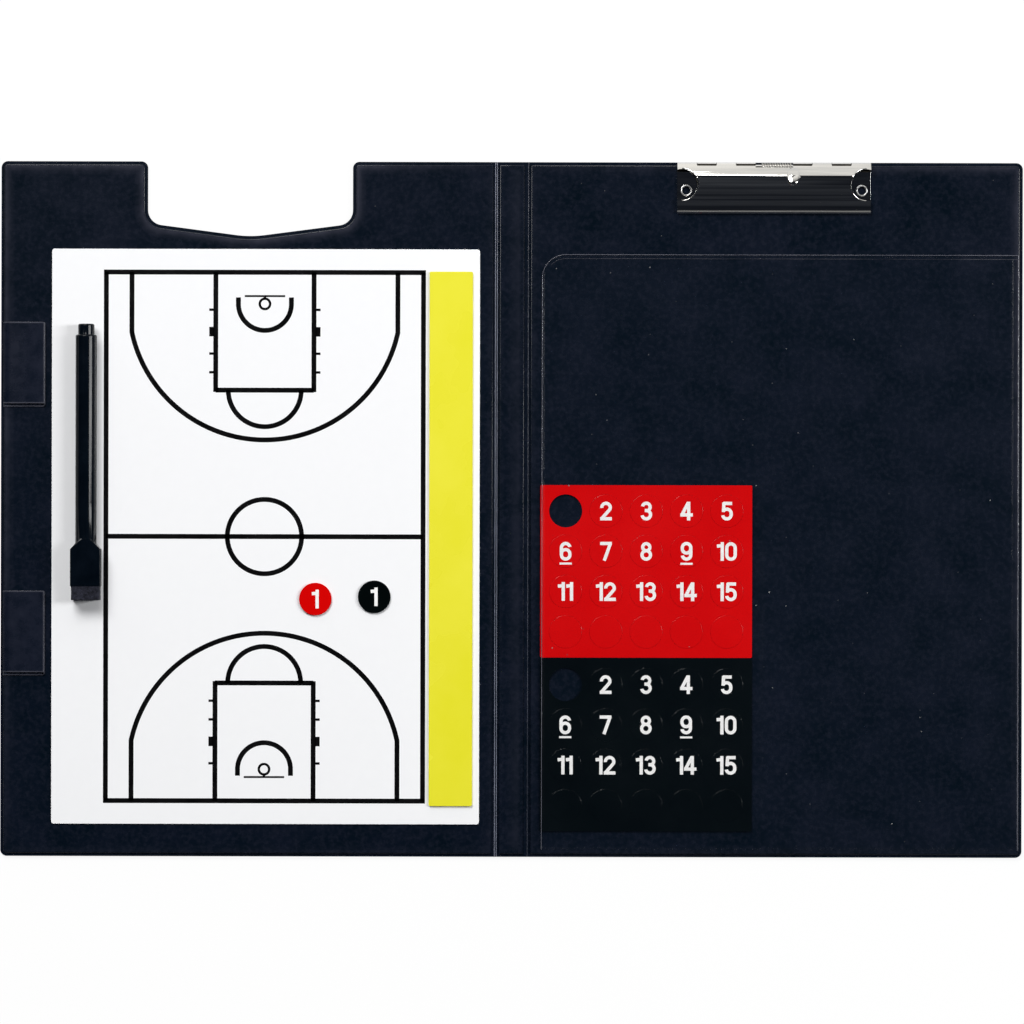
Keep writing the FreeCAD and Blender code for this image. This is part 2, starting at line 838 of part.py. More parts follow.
def clamp_profile():
    """The bent sheet's edge, upper face first and lower face back."""
    start, ridge, heel, tip, end = clamp_line()
    half = dim.clip_sheet / 2
    level = as_size(0)
    bends = [
        (ridge, dim.clip_rise, -dim.clip_fall, dim.clip_ridge_radius, 1),
        (heel, -dim.clip_fall, level, dim.clip_heel_radius, -1),
        (tip, level, dim.clip_lip_rise, dim.clip_lip_radius, -1),
    ]
    upper = [step(start, across(dim.clip_rise), half)]
    lower = [step(start, across(dim.clip_rise), -half)]
    for place, before, after, radius, turn in bends:
        upper.append(bend_offset(place, before, after, half) + (radius + half * turn,))
        lower.append(bend_offset(place, before, after, -half) + (radius - half * turn,))
    upper.append(step(end, across(dim.clip_lip_rise), half))
    lower.append(step(end, across(dim.clip_lip_rise), -half))
    return upper + lower[::-1]


def press_boss(body):
    """A pressed boss on the ridge of the clamp, where the spring's leg ends."""
    ridge = clamp_line()[1]
    radius = dim.clip_ridge_radius
    reach = radius * tangent((dim.clip_rise + dim.clip_fall) / 2)
    bend_start = step(ridge, along(dim.clip_rise), -reach)
    centre = step(bend_start, across(dim.clip_rise), -radius)
    boss = body.newObject("PartDesign::AdditiveEllipsoid", "Boss")
    support = next(item for item in body.Origin.OriginFeatures if item.Role == "XY_Plane")
    boss.AttachmentSupport = [(support, "")]
    boss.MapMode = "FlatFace"
    bind(boss, "AttachmentOffset.Base.x", clip_centre + dim.clip_boss_offset)
    bind(boss, "AttachmentOffset.Base.y", centre[0])
    bind(boss, "AttachmentOffset.Base.z", centre[1] + radius - dim.clip_sheet / 2)
    bind(boss, "Radius1", dim.clip_sheet + dim.clip_boss_height)
    bind(boss, "Radius2", dim.clip_boss_width / 2)
    bind(boss, "Radius3", dim.clip_boss_length / 2)
    boss.Angle1 = 0
    boss.Angle2 = 90
    doc.recompute()


def clip_clamp():
    body = new_body("clip_clamp")
    section = new_sketch(body, "YZ_Plane", (0, 0, clip_centre))
    outline(section, clamp_profile())
    pad(body, section, dim.clip_width, symmetric=True)
    roll_knuckles(body, 0)
    openings = new_sketch(body, "XY_Plane", (0, 0, cover_thickness))
    for side in (-1, 1):
        x = clip_centre + (dim.clip_width / 2 - dim.clip_cutout_inset) * side
        circle(openings, x, cover_top - dim.clip_cutout_drop, dim.clip_cutout_radius)
    pocket(body, openings, dim.clip_depth, reverse=True)
    press_boss(body)
    return body


def clip_pin():
    body = new_body("clip_pin")
    section = new_sketch(body, "YZ_Plane", (0, 0, clip_centre))
    circle(section, pin_y, pin_z, dim.clip_pin_radius)
    pad(body, section, dim.clip_width, symmetric=True)
    return body


def clip_rivets():
    """Two tubular rivets, each with a rolled rim and a flat head in the board."""
    body = new_body("clip_rivets")
    body.AllowCompound = True
    bottom = dim.skin_thickness
    floor = bottom + dim.rivet_head_height
    rim = clip_base_top + dim.rivet_rim_height
    roll = (dim.rivet_rim - dim.rivet_hole) / 2 - dim.rivet_play
    for x in rivet_places():
        section = new_sketch(body, "XZ_Plane", (x, 0, -rivet_y))
        outline(section, [
            (0, bottom),
            (dim.rivet_head, bottom),
            (dim.rivet_head, floor),
            (dim.rivet_shank, floor),
            (dim.rivet_shank, clip_base_top),
            (dim.rivet_rim, clip_base_top),
            (dim.rivet_rim, rim, roll),
            (dim.rivet_hole, rim, roll),
            (dim.rivet_hole, floor),
            (0, floor),
        ])
        revolve(body, section)
    return body


# Torsion spring: one wire from its leg on the base, round the pin, to its leg on the clamp.

def spring_point(x, radius, angle):
    y = pin_y.value + radius * math.cos(angle)
    z = pin_z.value + radius * math.sin(angle)
    return FreeCAD.Vector(x, y, z)


def arc_through(start, end, meeting):
    """The arc from start to end whose end tangents meet at a point."""
    middle_point = (start + end) * 0.5
    half_chord = (end - start).Length / 2
    rise = meeting - middle_point
    turn = math.atan2(rise.Length, half_chord)
    crest = middle_point + rise.normalize() * (half_chord * math.tan(turn / 2))
    return Part.Arc(start, crest, end).toShape()


def biarc(start, start_way, end, end_way):
    """Two arcs that join two points along given directions."""
    gap = end - start
    ways = start_way + end_way
    spread = 2 * (1 - start_way.dot(end_way))
    lean = gap.dot(ways)
    reach = (math.sqrt(lean * lean + spread * gap.dot(gap)) - lean) / spread
    first = start + start_way * reach
    last = end - end_way * reach
    joint = (first + last) * 0.5
    return [arc_through(start, joint, first), arc_through(joint, end, last)]


def bent_run(start, corner, end, radius):
    """A straight run, a bend and a second straight run."""
    arrive = (corner - start).normalize()
    leave = (end - corner).normalize()
    reach = radius * math.tan(arrive.getAngle(leave) / 2)
    first = corner - arrive * reach
    last = corner + leave * reach
    return [
        Part.LineSegment(start, first).toShape(),
        arc_through(first, last, corner),
        Part.LineSegment(last, end).toShape(),
    ]


def least_coil_gap(point, start, sweep, wire):
    """The least gap between one turn of the wire and the next, measured on points."""
    steps = 24
    turn = 2 * math.pi
    count = int(steps * sweep / turn)
    places = [point(start + turn * index / steps) for index in range(count)]
    gaps = []
    for index, place in enumerate(places):
        later = places[index + steps // 2:]
        gaps += [(place - other).Length - wire for other in later]
    return min(gaps)


def clip_spring():
    wire = dim.spring_wire.value
    coil = dim.clip_pin_radius.value + dim.spring_play.value + wire / 2
    turn = 2 * math.pi
    base_rise = math.radians(dim.spring_base_rise.value)
    clamp_rise = math.radians(dim.spring_clamp_rise.value)
    plate_rise = math.radians(dim.clip_rise.value)
    start = -math.pi / 2 - base_rise
    end = math.pi / 2 - clamp_rise + turn * dim.spring_turns.value
    per_radian = dim.spring_pitch.value / turn
    first_x = clip_centre.value + dim.spring_offset.value - spring_length.value / 2

    def point(angle):
        return spring_point(first_x + per_radian * (angle - start), coil, angle)

    def way(angle):
        run = FreeCAD.Vector(per_radian, -coil * math.sin(angle), coil * math.cos(angle))
        return run.normalize()

    print("least gap of the clip spring", least_coil_gap(point, start, end - start, wire))
    # the leg on the base: level on the plate, then down to the underside of the coil
    first = point(start)
    leg_z = clip_base_top.value + dim.spring_seat.value + wire / 2
    back = -way(start)
    corner = first + back * ((leg_z - first.z) / back.z)
    tip = corner - FreeCAD.Vector(0, dim.spring_base_reach.value, 0)
    edges = bent_run(tip, corner, first, 2 * wire)
    halves = round((end - start) / math.pi)
    angles = [start + (end - start) * index / halves for index in range(halves + 1)]
    for angle, following in zip(angles, angles[1:]):
        edges += biarc(point(angle), way(angle), point(following), way(following))
    # the leg on the clamp: up through the window, then along the plate's upper face
    last = point(end)
    leave = way(end)
    up_normal = FreeCAD.Vector(0, math.sin(plate_rise), math.cos(plate_rise))
    down_plate = FreeCAD.Vector(0, -math.cos(plate_rise), math.sin(plate_rise))
    pin = FreeCAD.Vector(last.x, pin_y.value, pin_z.value)
    seat = knuckle_radius.value + dim.spring_seat.value + wire / 2
    corner = last + leave * ((seat - (last - pin).dot(up_normal)) / leave.dot(up_normal))
    tip = corner + down_plate * dim.spring_clamp_reach.value
    edges += bent_run(last, corner, tip, 2 * wire)
    path = Part.Wire(edges)
    section = Part.Wire(Part.Circle(path.Edges[0].firstVertex().Point,
                                    FreeCAD.Vector(0, 1, 0), wire / 2).toShape())
    feature = doc.addObject("Part::Feature", "clip_spring")
    feature.Label = "clip_spring"
    feature.Shape = path.makePipeShell([section], True, False)
    return feature


# Marker pen: turned pieces on one axis, measured from the tail towards the felt.

def pen_sketch(body):
    return new_sketch(body, "XY_Plane", (pen_x, pen_tail, pen_z))


def turned(label, profile):
    """A piece turned about the pen's axis from (radius, distance from the tail)."""
    body = new_body(label)
    section = pen_sketch(body)
    outline(section, [(corner[0], -as_size(corner[1])) + tuple(corner[2:]) for corner in profile])
    revolve(body, section)
    return body


def pen_barrel():
    return turned("pen_barrel", [
        (pen_bore, dim.plug_length),
        (dim.pen_radius, dim.plug_length, dim.pen_shoulder),
        (dim.pen_radius, barrel_end),
        (pen_bore, barrel_end),
    ])


def pen_end_plug():
    spigot = pen_bore - dim.pen_play
    return turned("pen_end_plug", [
        (0, 0),
        (dim.plug_radius, 0, dim.pen_shoulder),
        (dim.plug_radius, dim.plug_length),
        (spigot, dim.plug_length),
        (spigot, reservoir_start),
        (0, reservoir_start),
    ])


def pen_reservoir():
    bore = dim.nib_radius + dim.pen_play
    return turned("pen_reservoir", [
        (0, reservoir_start),
        (dim.reservoir_radius, reservoir_start),
        (dim.reservoir_radius, reservoir_end),
        (bore, reservoir_end),
        (bore, reservoir_end - dim.nib_seat),
        (0, reservoir_end - dim.nib_seat),
    ])


def pen_section():
    bore = dim.nib_radius + dim.pen_play
    spigot = pen_bore - dim.pen_play
    return turned("pen_section", [
        (bore, barrel_end - dim.section_spigot),
        (spigot, barrel_end - dim.section_spigot),
        (spigot, barrel_end),
        (dim.section_radius, barrel_end),
        (dim.section_radius, section_end - dim.section_nose_length),
        (dim.section_nose, section_end),
        (bore, section_end),
    ])


def pen_nib():
    start = reservoir_end - dim.nib_seat
    end = section_end + dim.nib_reach
    return turned("pen_nib", [
        (0, start),
        (dim.nib_radius, start),
        (dim.nib_radius, end - dim.nib_radius),
        (dim.nib_tip, end),
        (0, end),
    ])


def cap_section(body, distance):
    """A sketch square to the pen, at a distance from its tail."""
    return new_sketch(body, "XZ_Plane", (pen_x, pen_z, distance - pen_tail))


def pen_cap():
    """A round tube that widens into a flat block with a socket for the felt."""
    body = new_body("pen_cap")
    shoulder = barrel_end + dim.cap_tube
    block = shoulder + dim.cap_shoulder
    flat = cap_section(body, block)
    rectangle(flat, 0, 0, dim.cap_width, cap_thickness, dim.cap_edge)
    pad(body, flat, dim.cap_block)
    top = cap_section(body, shoulder)
    rectangle(top, 0, 0, dim.cap_neck_width, cap_thickness, dim.cap_edge)
    foot = cap_section(body, block)
    rectangle(foot, 0, 0, dim.cap_width, cap_thickness, dim.cap_edge)
    loft(body, "Additive", top, foot)
    tube = cap_section(body, barrel_end)
    circle(tube, 0, 0, dim.pen_radius)
    pad(body, tube, dim.cap_tube + dim.cap_shoulder)
    bore = cap_section(body, barrel_end)
    circle(bore, 0, 0, cap_bore)
    pocket(body, bore, cap_floor - barrel_end, reverse=True)
    socket = cap_section(body, cap_end - dim.felt_socket)
    rectangle(socket, 0, 0, felt_width + 2 * dim.felt_play,
              felt_thickness + 2 * dim.felt_play, dim.felt_round)
    pocket(body, socket, dim.felt_socket, reverse=True)
    return body


def cap_seal():
    """The soft cup in the cap that the nose of the pen presses into."""
    rim = cap_bore - dim.pen_play
    mouth = section_end + dim.pen_play
    return turned("cap_seal", [
        (dim.seal_bore, mouth),
        (rim, mouth),
        (rim, cap_floor),
        (dim.seal_bore, cap_floor),
    ])


def eraser_felt():
    body = new_body("eraser_felt")
    section = cap_section(body, cap_end - dim.felt_socket)
    rectangle(section, 0, 0, felt_width, felt_thickness, dim.felt_round)
    pad(body, section, dim.felt_socket + dim.felt_reach)
    round_face(body, (0, -1, 0), dim.felt_round / 2)
    return body


# Pen loops: a strip of vinyl folded flat, with both ends in the weld of the fore edge.

def pen_loop(label, height):
    body = new_body(label)
    hinge = dim.loop_hinge_inset - cover_edge
    level = middle + dim.skin_thickness + dim.loop_bead + dim.loop_clearance
    shift = (hinge, level, -height)
    bottom = cover_thickness - level + dim.loop_clearance
    top = bottom + 2 * dim.loop_vinyl + dim.loop_gap
    bore_bottom = bottom + dim.loop_vinyl
    bore_top = top - dim.loop_vinyl
    fold = (top - bottom) / 2 - dim.board_play
    bore_fold = dim.loop_gap / 2 - dim.board_play
    root = dim.loop_bead / 2
    bore_end = dim.loop_width - dim.loop_vinyl
    strip = new_sketch(body, "XZ_Plane", shift)
    outline(strip, [
        (root, -root),
        (2 * root, bottom),
        (dim.loop_width, bottom, fold),
        (dim.loop_width, top, fold),
        (dim.loop_neck, top, dim.loop_neck),
        (-root, root),
    ])
    pad(body, strip, dim.loop_length, symmetric=True)
    bead = new_sketch(body, "XZ_Plane", shift)
    circle(bead, 0, 0, dim.loop_bead)
    pad(body, bead, dim.loop_length, symmetric=True)
    bore = new_sketch(body, "XZ_Plane", shift)
    outline(bore, [
        (dim.loop_neck, bore_bottom),
        (bore_end, bore_bottom, bore_fold),
        (bore_end, bore_top, bore_fold),
        (dim.loop_neck, bore_top),
    ])
    pocket(body, bore, dim.loop_length + dim.loop_neck, symmetric=True)
    return body


# The whole board.

def build():
    pieces = [
        cover_skin("back_outer_skin", 1, False, False),
        back_board(),
        back_inner_skin(),
        spine_outer_skin(),
        spine_board(),
        spine_inner_skin(),
        cover_skin("front_outer_skin", -1, False, True),
        cover_board("front_board", -1, True),
        cover_skin("front_inner_skin", -1, True, True),
        whiteboard_tape(),
        whiteboard_sheet(),
        yellow_strip(),
        loose_disc("red_disc_1", black_disc_x + dim.disc_spacing, dim.red_disc_drop),
        loose_disc("black_disc_1", black_disc_x, dim.black_disc_drop),
        pocket_film(),
        clip_base(),
        clip_clamp(),
        clip_pin(),
        clip_spring(),
        clip_rivets(),
        pen_barrel(),
        pen_end_plug(),
        pen_reservoir(),
        pen_section(),
        pen_nib(),
        pen_cap(),
        cap_seal(),
        eraser_felt(),
        pen_loop("upper_pen_loop", cover_top - dim.upper_loop_drop),
        pen_loop("lower_pen_loop", dim.lower_loop_rise - cover_top),
    ]
    pieces += magnet_sheet("red", red_sheet_y)
    pieces += magnet_sheet("black", black_sheet_y)
    return pieces


def check(pieces):
    doc.recompute()
    for item in doc.Objects:
        if {"Invalid", "Error"} & set(item.State):
            raise RuntimeError(f"{item.Label} of {item.TypeId} did not build")
    for piece in pieces:
        if piece.Shape.isNull() or not piece.Shape.isValid():
            raise RuntimeError(f"{piece.Label} has no valid shape")


def export(pieces):
    os.makedirs("parts", exist_ok=True)
    for piece in pieces:
        piece.Shape.exportStep(f"parts/{piece.Label}.step")
        print(piece.Label, len(piece.Shape.Solids), round(piece.Shape.Volume, 2))


board = build()
check(board)
export(board)
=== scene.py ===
import json
import math

import bmesh
import bpy
from mathutils import Matrix, Vector, noise
from mathutils.bvhtree import BVHTree

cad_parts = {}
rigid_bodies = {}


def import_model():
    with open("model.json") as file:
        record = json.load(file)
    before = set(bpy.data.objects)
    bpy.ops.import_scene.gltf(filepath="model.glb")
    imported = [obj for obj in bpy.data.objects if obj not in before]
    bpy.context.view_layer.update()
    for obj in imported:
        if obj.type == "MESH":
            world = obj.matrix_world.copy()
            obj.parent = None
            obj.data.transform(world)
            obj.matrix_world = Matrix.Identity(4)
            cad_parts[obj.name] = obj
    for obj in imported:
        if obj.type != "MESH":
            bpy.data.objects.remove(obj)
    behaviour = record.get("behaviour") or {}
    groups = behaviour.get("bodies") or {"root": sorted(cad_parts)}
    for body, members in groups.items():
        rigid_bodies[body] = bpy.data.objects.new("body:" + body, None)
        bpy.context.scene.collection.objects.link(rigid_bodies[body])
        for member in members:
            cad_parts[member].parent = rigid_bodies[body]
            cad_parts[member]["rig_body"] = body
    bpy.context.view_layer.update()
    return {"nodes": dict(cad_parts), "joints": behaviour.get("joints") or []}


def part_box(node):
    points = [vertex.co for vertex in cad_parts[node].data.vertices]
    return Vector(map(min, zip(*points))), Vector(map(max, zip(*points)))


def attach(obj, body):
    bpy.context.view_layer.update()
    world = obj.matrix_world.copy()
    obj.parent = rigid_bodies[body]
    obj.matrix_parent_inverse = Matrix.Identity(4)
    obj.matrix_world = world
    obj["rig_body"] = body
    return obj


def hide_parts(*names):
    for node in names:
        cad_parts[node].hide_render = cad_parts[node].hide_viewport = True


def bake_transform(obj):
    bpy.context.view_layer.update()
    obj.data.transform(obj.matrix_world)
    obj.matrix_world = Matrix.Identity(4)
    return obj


# The looks of a folding tactics board, built round its CAD frame.
# The frame is in metres; sizes here are written in millimetres and scaled by MM.

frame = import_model()

MM = 0.001

# covers, spine and the two welded folds
COVER_EDGE = 235.2
COVER_TOP = 160.0
COVER_MIDDLE = 1.4
COVER_FACE = 2.8
FOLD_X = 7.2
COVER_CORNER = 3.0
SKIN = 0.4
WEB_HALF = 0.7
FLANGE = 1.35
FOLD_FLANGE = 0.8
WALL = 0.1
CREST = 0.4
CREST_STEPS = 6
# rings inside the shoulder: distance from it, and how much painted highlight the vinyl gets there
COVER_RINGS = ((0.5, 0.95), (1.3, 0.6), (2.6, 0.22), (4.6, 0.0))
SPINE_RINGS = ((0.8, 0.3), (2.2, 0.1))
CREST_TURN = 80
CREST_HIGHLIGHT = 0.5
SPINE_HIGHLIGHT = 0.2
# how much painted highlight a skin's edges get, and how far along them that reaches
LEAST_EDGE_HIGHLIGHT = 0.12
FORE_EDGE_HIGHLIGHT = 0.75
EDGE_REACH = 9.0
FOOT_REACH = 11.0
# how outlines are drawn in and rounded
CORNER_STEPS = 8
LEAST_RADIUS = 0.15
UPRIGHT = 0.01
# the notch that clears the clip
NOTCH_HALF = 47.2
NOTCH_SIDE = 28.5
NOTCH_CENTRE = 34.7
NOTCH_CORNER = 7.0
NOTCH_CROWN = 50.0
CLIP_X = 120.5
# the ridges that the weld bar leaves in the folds
WEB_STEPS = 40
WELD_HALF = 0.26
WELD_HEIGHT = 0.2
FRONT_CRESTS = (-0.42, 0.44)
# painted highlight on the weld ridges, stronger on the front fold than on the back one
FRONT_WELD_HIGHLIGHT = 1.0
BACK_CRESTS = (0.3,)
BACK_WELD_HIGHLIGHT = 0.22

# print on the whiteboard
COURT_X = -113.7
COURT_Y = -12.7
COURT_HALF_WIDTH = 73.0
COURT_HALF_LENGTH = 121.65
COURT_LINE = 2.25
FINE_LINE = 1.15
CENTRE_RADIUS = 17.1
INK = 0.012
INK_STEP = INK / 3
ARC_STEP = 0.6
ARC_LEAST_STEPS = 8
ARC_MOST_STEPS = 120
# one end of the court, in distances from the court's middle
BASKET_Y = 107.1
RING_RADIUS = 2.4
RING_NECK_Y = 109.3
BACKBOARD_Y = 110.7
BACKBOARD_HALF = 9.3
BACKBOARD_LINE = 0.9
FAR_RADIUS = 62.6
FAR_TRIM = 12.3
FAR_SIDE_X = 61.2
FAR_SIDE_Y = 93.6
FREE_THROW_Y = 67.4
FREE_THROW_RADIUS = 16.8
LANE_X = 22.6
LANE_FOOT_Y = 66.55
NEAR_RADIUS = 12.2
NEAR_ARM = 3
MARK_INNER_X = 23.4
MARK_OUTER_X = 25.6
MARK_HEIGHTS = (104.4, 84.2, 75.6)
BLOCK_Y = 94.3
BLOCK_LINE = 4.4

# numbers on the magnets
STROKE = 1.5
DIGIT_HEIGHT = 8.6
DIGIT_WIDTH = 5.4
ONE_WIDTH = 3.3
DIGIT_GAP = 0.5
UNDERLINE = 0.9
UNDERLINE_HALF = 2.8
UNDERLINE_DROP = 1.4
SHEET_PITCH = 18.55
SHEET_COLUMNS = 5
SHEET_ROWS = 4
HIGHEST_NUMBER = 15
SHEET_DISC_RADIUS = 7.58
LOOSE_DISC_RADIUS = 7.5
DISC_SEGMENTS = 72
DISC_EASE = 0.14
DISC_CREST = 0.01

# how copies of CAD meshes are cleaned, and how pieces are shaded
MERGE = 0.001
FLAT_TURN = 1
SHARP_TURN = 38.0
EASED_TURN = 35
EASE_SEGMENTS = 2


def mm(x, y, z=0.0):
    return Vector((x, y, z)) * MM


def placed(x, y, z):
    return Matrix.Translation(mm(x, y, z))


BOXES = {name: [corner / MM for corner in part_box(name)] for name in frame["nodes"]}


def smooth_step(value):
    value = min(max(value, 0.0), 1.0)
    return value * value * (3 - 2 * value)


def node_box(name):
    """The lowest and highest corners of a CAD piece, in millimetres."""
    return BOXES[name]


# Materials. Shared effects are node groups, and each material sets its own values.

def add_node(tree, kind, **settings):
    item = tree.nodes.new(kind)
    for name, value in settings.items():
        setattr(item, name, value)
    return item


def set_inputs(item, **values):
    for name, value in values.items():
        item.inputs[name.replace("_", " ")].default_value = value


def join(tree, source, output, target, entry):
    tree.links.new(source.outputs[output], target.inputs[entry])


def new_group(name, inputs, outputs):
    group = bpy.data.node_groups.new(name, "ShaderNodeTree")
    for label, kind, value in inputs:
        socket = group.interface.new_socket(label, in_out="INPUT", socket_type=kind)
        if value is not None:
            socket.default_value = value
    for label, kind in outputs:
        group.interface.new_socket(label, in_out="OUTPUT", socket_type=kind)
    return group, add_node(group, "NodeGroupInput"), add_node(group, "NodeGroupOutput")


def soft_mottle_group():
    """A slow drift between two colours, and the same drift as a value."""
    group, given, result = new_group(
        "soft mottle",
        [("Vector", "NodeSocketVector", None), ("Scale", "NodeSocketFloat", 30.0),
         ("Dark", "NodeSocketColor", None), ("Light", "NodeSocketColor", None)],
        [("Color", "NodeSocketColor"), ("Value", "NodeSocketFloat")])
    cloud = add_node(group, "ShaderNodeTexNoise")
    set_inputs(cloud, Detail=4.0, Roughness=0.65)
    spread = add_node(group, "ShaderNodeMapRange")
    set_inputs(spread, From_Min=0.3, From_Max=0.7)
    blend = add_node(group, "ShaderNodeMix", data_type="RGBA")
    join(group, given, "Vector", cloud, "Vector")
    join(group, given, "Scale", cloud, "Scale")
    join(group, cloud, "Fac", spread, "Value")
    join(group, spread, "Result", blend, "Factor")
    join(group, given, "Dark", blend, "A")
    join(group, given, "Light", blend, "B")
    join(group, blend, "Result", result, "Color")
    join(group, spread, "Result", result, "Value")
    return group


def fine_grain_group():
    """The close grain of moulded plastic and sheet vinyl, as a height."""
    group, given, result = new_group(
        "fine grain",
        [("Vector", "NodeSocketVector", None), ("Scale", "NodeSocketFloat", 1500.0)],
        [("Height", "NodeSocketFloat")])
    pebbles = add_node(group, "ShaderNodeTexVoronoi")
    crease = add_node(group, "ShaderNodeTexNoise")
    set_inputs(crease, Detail=2.0)
    total = add_node(group, "ShaderNodeMath", operation="ADD")
    for texture in (pebbles, crease):
        join(group, given, "Vector", texture, "Vector")
        join(group, given, "Scale", texture, "Scale")
    join(group, pebbles, "Distance", total, 0)
    join(group, crease, "Fac", total, 1)
    join(group, total, "Value", result, "Height")
    return group


def dust_group():
    """Scattered specks of dust and lint, as a mask."""
    group, given, result = new_group(
        "dust specks",
        [("Vector", "NodeSocketVector", None), ("Scale", "NodeSocketFloat", 150.0),
         ("Size", "NodeSocketFloat", 0.05), ("Share", "NodeSocketFloat", 0.2)],
        [("Mask", "NodeSocketFloat")])
    cells = add_node(group, "ShaderNodeTexVoronoi")
    chance = add_node(group, "ShaderNodeSeparateColor")
    chosen = add_node(group, "ShaderNodeMath", operation="LESS_THAN")
    near = add_node(group, "ShaderNodeMath", operation="LESS_THAN")
    both = add_node(group, "ShaderNodeMath", operation="MULTIPLY")
    faint = add_node(group, "ShaderNodeMath", operation="MULTIPLY")
    join(group, given, "Vector", cells, "Vector")
    join(group, given, "Scale", cells, "Scale")
    join(group, cells, "Color", chance, "Color")
    join(group, chance, "Red", chosen, 0)
    join(group, given, "Share", chosen, 1)
    join(group, cells, "Distance", near, 0)
    join(group, given, "Size", near, 1)
    join(group, chosen, "Value", both, 0)
    join(group, near, "Value", both, 1)
    join(group, both, "Value", faint, 0)
    join(group, chance, "Green", faint, 1)
    join(group, faint, "Value", result, "Mask")
    return group


SOFT_MOTTLE = soft_mottle_group()
FINE_GRAIN = fine_grain_group()
DUST = dust_group()


def place_group(tree, group, coordinates, **values):
    item = add_node(tree, "ShaderNodeGroup", node_tree=group)
    tree.links.new(coordinates, item.inputs["Vector"])
    set_inputs(item, **values)
    return item


def grey(value):
    return (value, value, value, 1.0)


def colour(red, green, blue):
    return (red, green, blue, 1.0)


class Finish:
    """A material with mottled colour and roughness and a grain, to which painted highlights and dust are
    added.

    It takes a name, a darker and a lighter colour, the mottle's scale, the range of roughness,
    the grain's scale, its depth in millimetres, and other values of the shader.
    A stretch draws the texture out into streaks.
    """

    def __init__(self, name, dark, light, mottle, roughness, grain, grain_depth, stretch=None, **values):
        self.material = bpy.data.materials.new(name)
        self.material.use_nodes = True
        self.tree = self.material.node_tree
        self.shader = self.tree.nodes["Principled BSDF"]
        set_inputs(self.shader, **values)
        self.place = add_node(self.tree, "ShaderNodeTexCoord").outputs["Object"]
        if stretch:
            self.stretch_place(stretch)
        self.drift = place_group(self.tree, SOFT_MOTTLE, self.place,
                                 Scale=mottle, Dark=dark, Light=light)
        self.base = self.drift.outputs["Color"]
        self.tree.links.new(self.base, self.shader.inputs["Base Color"])
        self.vary_roughness(*roughness)
        self.add_grain(grain, grain_depth)

    def stretch_place(self, stretch):
        mapping = add_node(self.tree, "ShaderNodeMapping")
        mapping.inputs["Scale"].default_value = stretch
        self.tree.links.new(self.place, mapping.inputs["Vector"])
        self.place = mapping.outputs["Vector"]

    def vary_roughness(self, low, high):
        spread = add_node(self.tree, "ShaderNodeMapRange")
        set_inputs(spread, To_Min=low, To_Max=high)
        join(self.tree, self.drift, "Value", spread, "Value")
        join(self.tree, spread, "Result", self.shader, "Roughness")

    def add_grain(self, scale, depth):
        grain = place_group(self.tree, FINE_GRAIN, self.place, Scale=scale)
        self.bump = add_node(self.tree, "ShaderNodeBump")
        set_inputs(self.bump, Strength=0.6, Distance=depth * MM)
        join(self.tree, grain, "Height", self.bump, "Height")
        join(self.tree, self.bump, "Normal", self.shader, "Normal")

    def cover_base(self, mask, layer):
        """Lays a colour over what the surface has so far, by a mask."""
        cover = add_node(self.tree, "ShaderNodeMix", data_type="RGBA")
        cover.inputs["B"].default_value = layer
        self.tree.links.new(mask, cover.inputs["Factor"])
        self.tree.links.new(self.base, cover.inputs["A"])
        self.base = cover.outputs["Result"]
        self.tree.links.new(self.base, self.shader.inputs["Base Color"])

    def add_speckle(self, scale, speck, strength):
        """A fine, uneven lightening, as of grain scuffed pale by rubbing."""
        patches = place_group(self.tree, SOFT_MOTTLE, self.place, Scale=scale)
        share = add_node(self.tree, "ShaderNodeMapRange")
        set_inputs(share, From_Min=0.35, To_Max=strength)
        join(self.tree, patches, "Value", share, "Value")
        self.cover_base(share.outputs["Result"], speck)

    def add_wear(self, attribute, highlight_colour, scale):
        """Paints highlight: lightens the surface where its attribute asks for it, in patches."""
        where = add_node(self.tree, "ShaderNodeAttribute", attribute_name=attribute)
        patches = place_group(self.tree, SOFT_MOTTLE, self.place, Scale=scale)
        share = add_node(self.tree, "ShaderNodeMapRange")
        set_inputs(share, To_Min=0.45, To_Max=1.0)
        mask = add_node(self.tree, "ShaderNodeMath", operation="MULTIPLY")
        join(self.tree, patches, "Value", share, "Value")
        join(self.tree, where, "Fac", mask, 0)
        join(self.tree, share, "Result", mask, 1)
        self.cover_base(mask.outputs["Value"], highlight_colour)

    def add_dust(self, scale, size, share, speck):
        dust = place_group(self.tree, DUST, self.place, Scale=scale, Size=size, Share=share)
        self.cover_base(dust.outputs["Mask"], speck)
        return dust.outputs["Mask"]


def vinyl_finish():
    finish = Finish("navy vinyl", colour(0.0004, 0.0033, 0.0074), colour(0.0025, 0.0052, 0.0130),
                    45.0, (0.2, 0.27), 1700.0, 0.01, Specular_IOR_Level=0.3)
    finish.add_speckle(420.0, colour(0.011, 0.0135, 0.024), 0.5)
    # painted highlight on the skins' shoulders and the spine, by their vertex attribute
    finish.add_wear("painted_highlight", colour(0.034, 0.036, 0.052), 90.0)
    # painted highlight on the weld ridges of the folds
    finish.add_wear("weld", colour(0.27, 0.29, 0.37), 45.0)
    finish.add_dust(190.0, 0.05, 0.12, grey(0.08))
    return finish.material


def loop_vinyl_finish():
    finish = Finish("loop vinyl", colour(0.0026, 0.0052, 0.0124), colour(0.0075, 0.0102, 0.0215),
                    160.0, (0.24, 0.32), 1100.0, 0.02, Specular_IOR_Level=0.35)
    # painted highlight along the loops' hems and fold, by their vertex attribute
    finish.add_wear("painted_highlight", colour(0.070, 0.072, 0.092), 70.0)
    return finish.material


DUST_ALPHA = 0.7


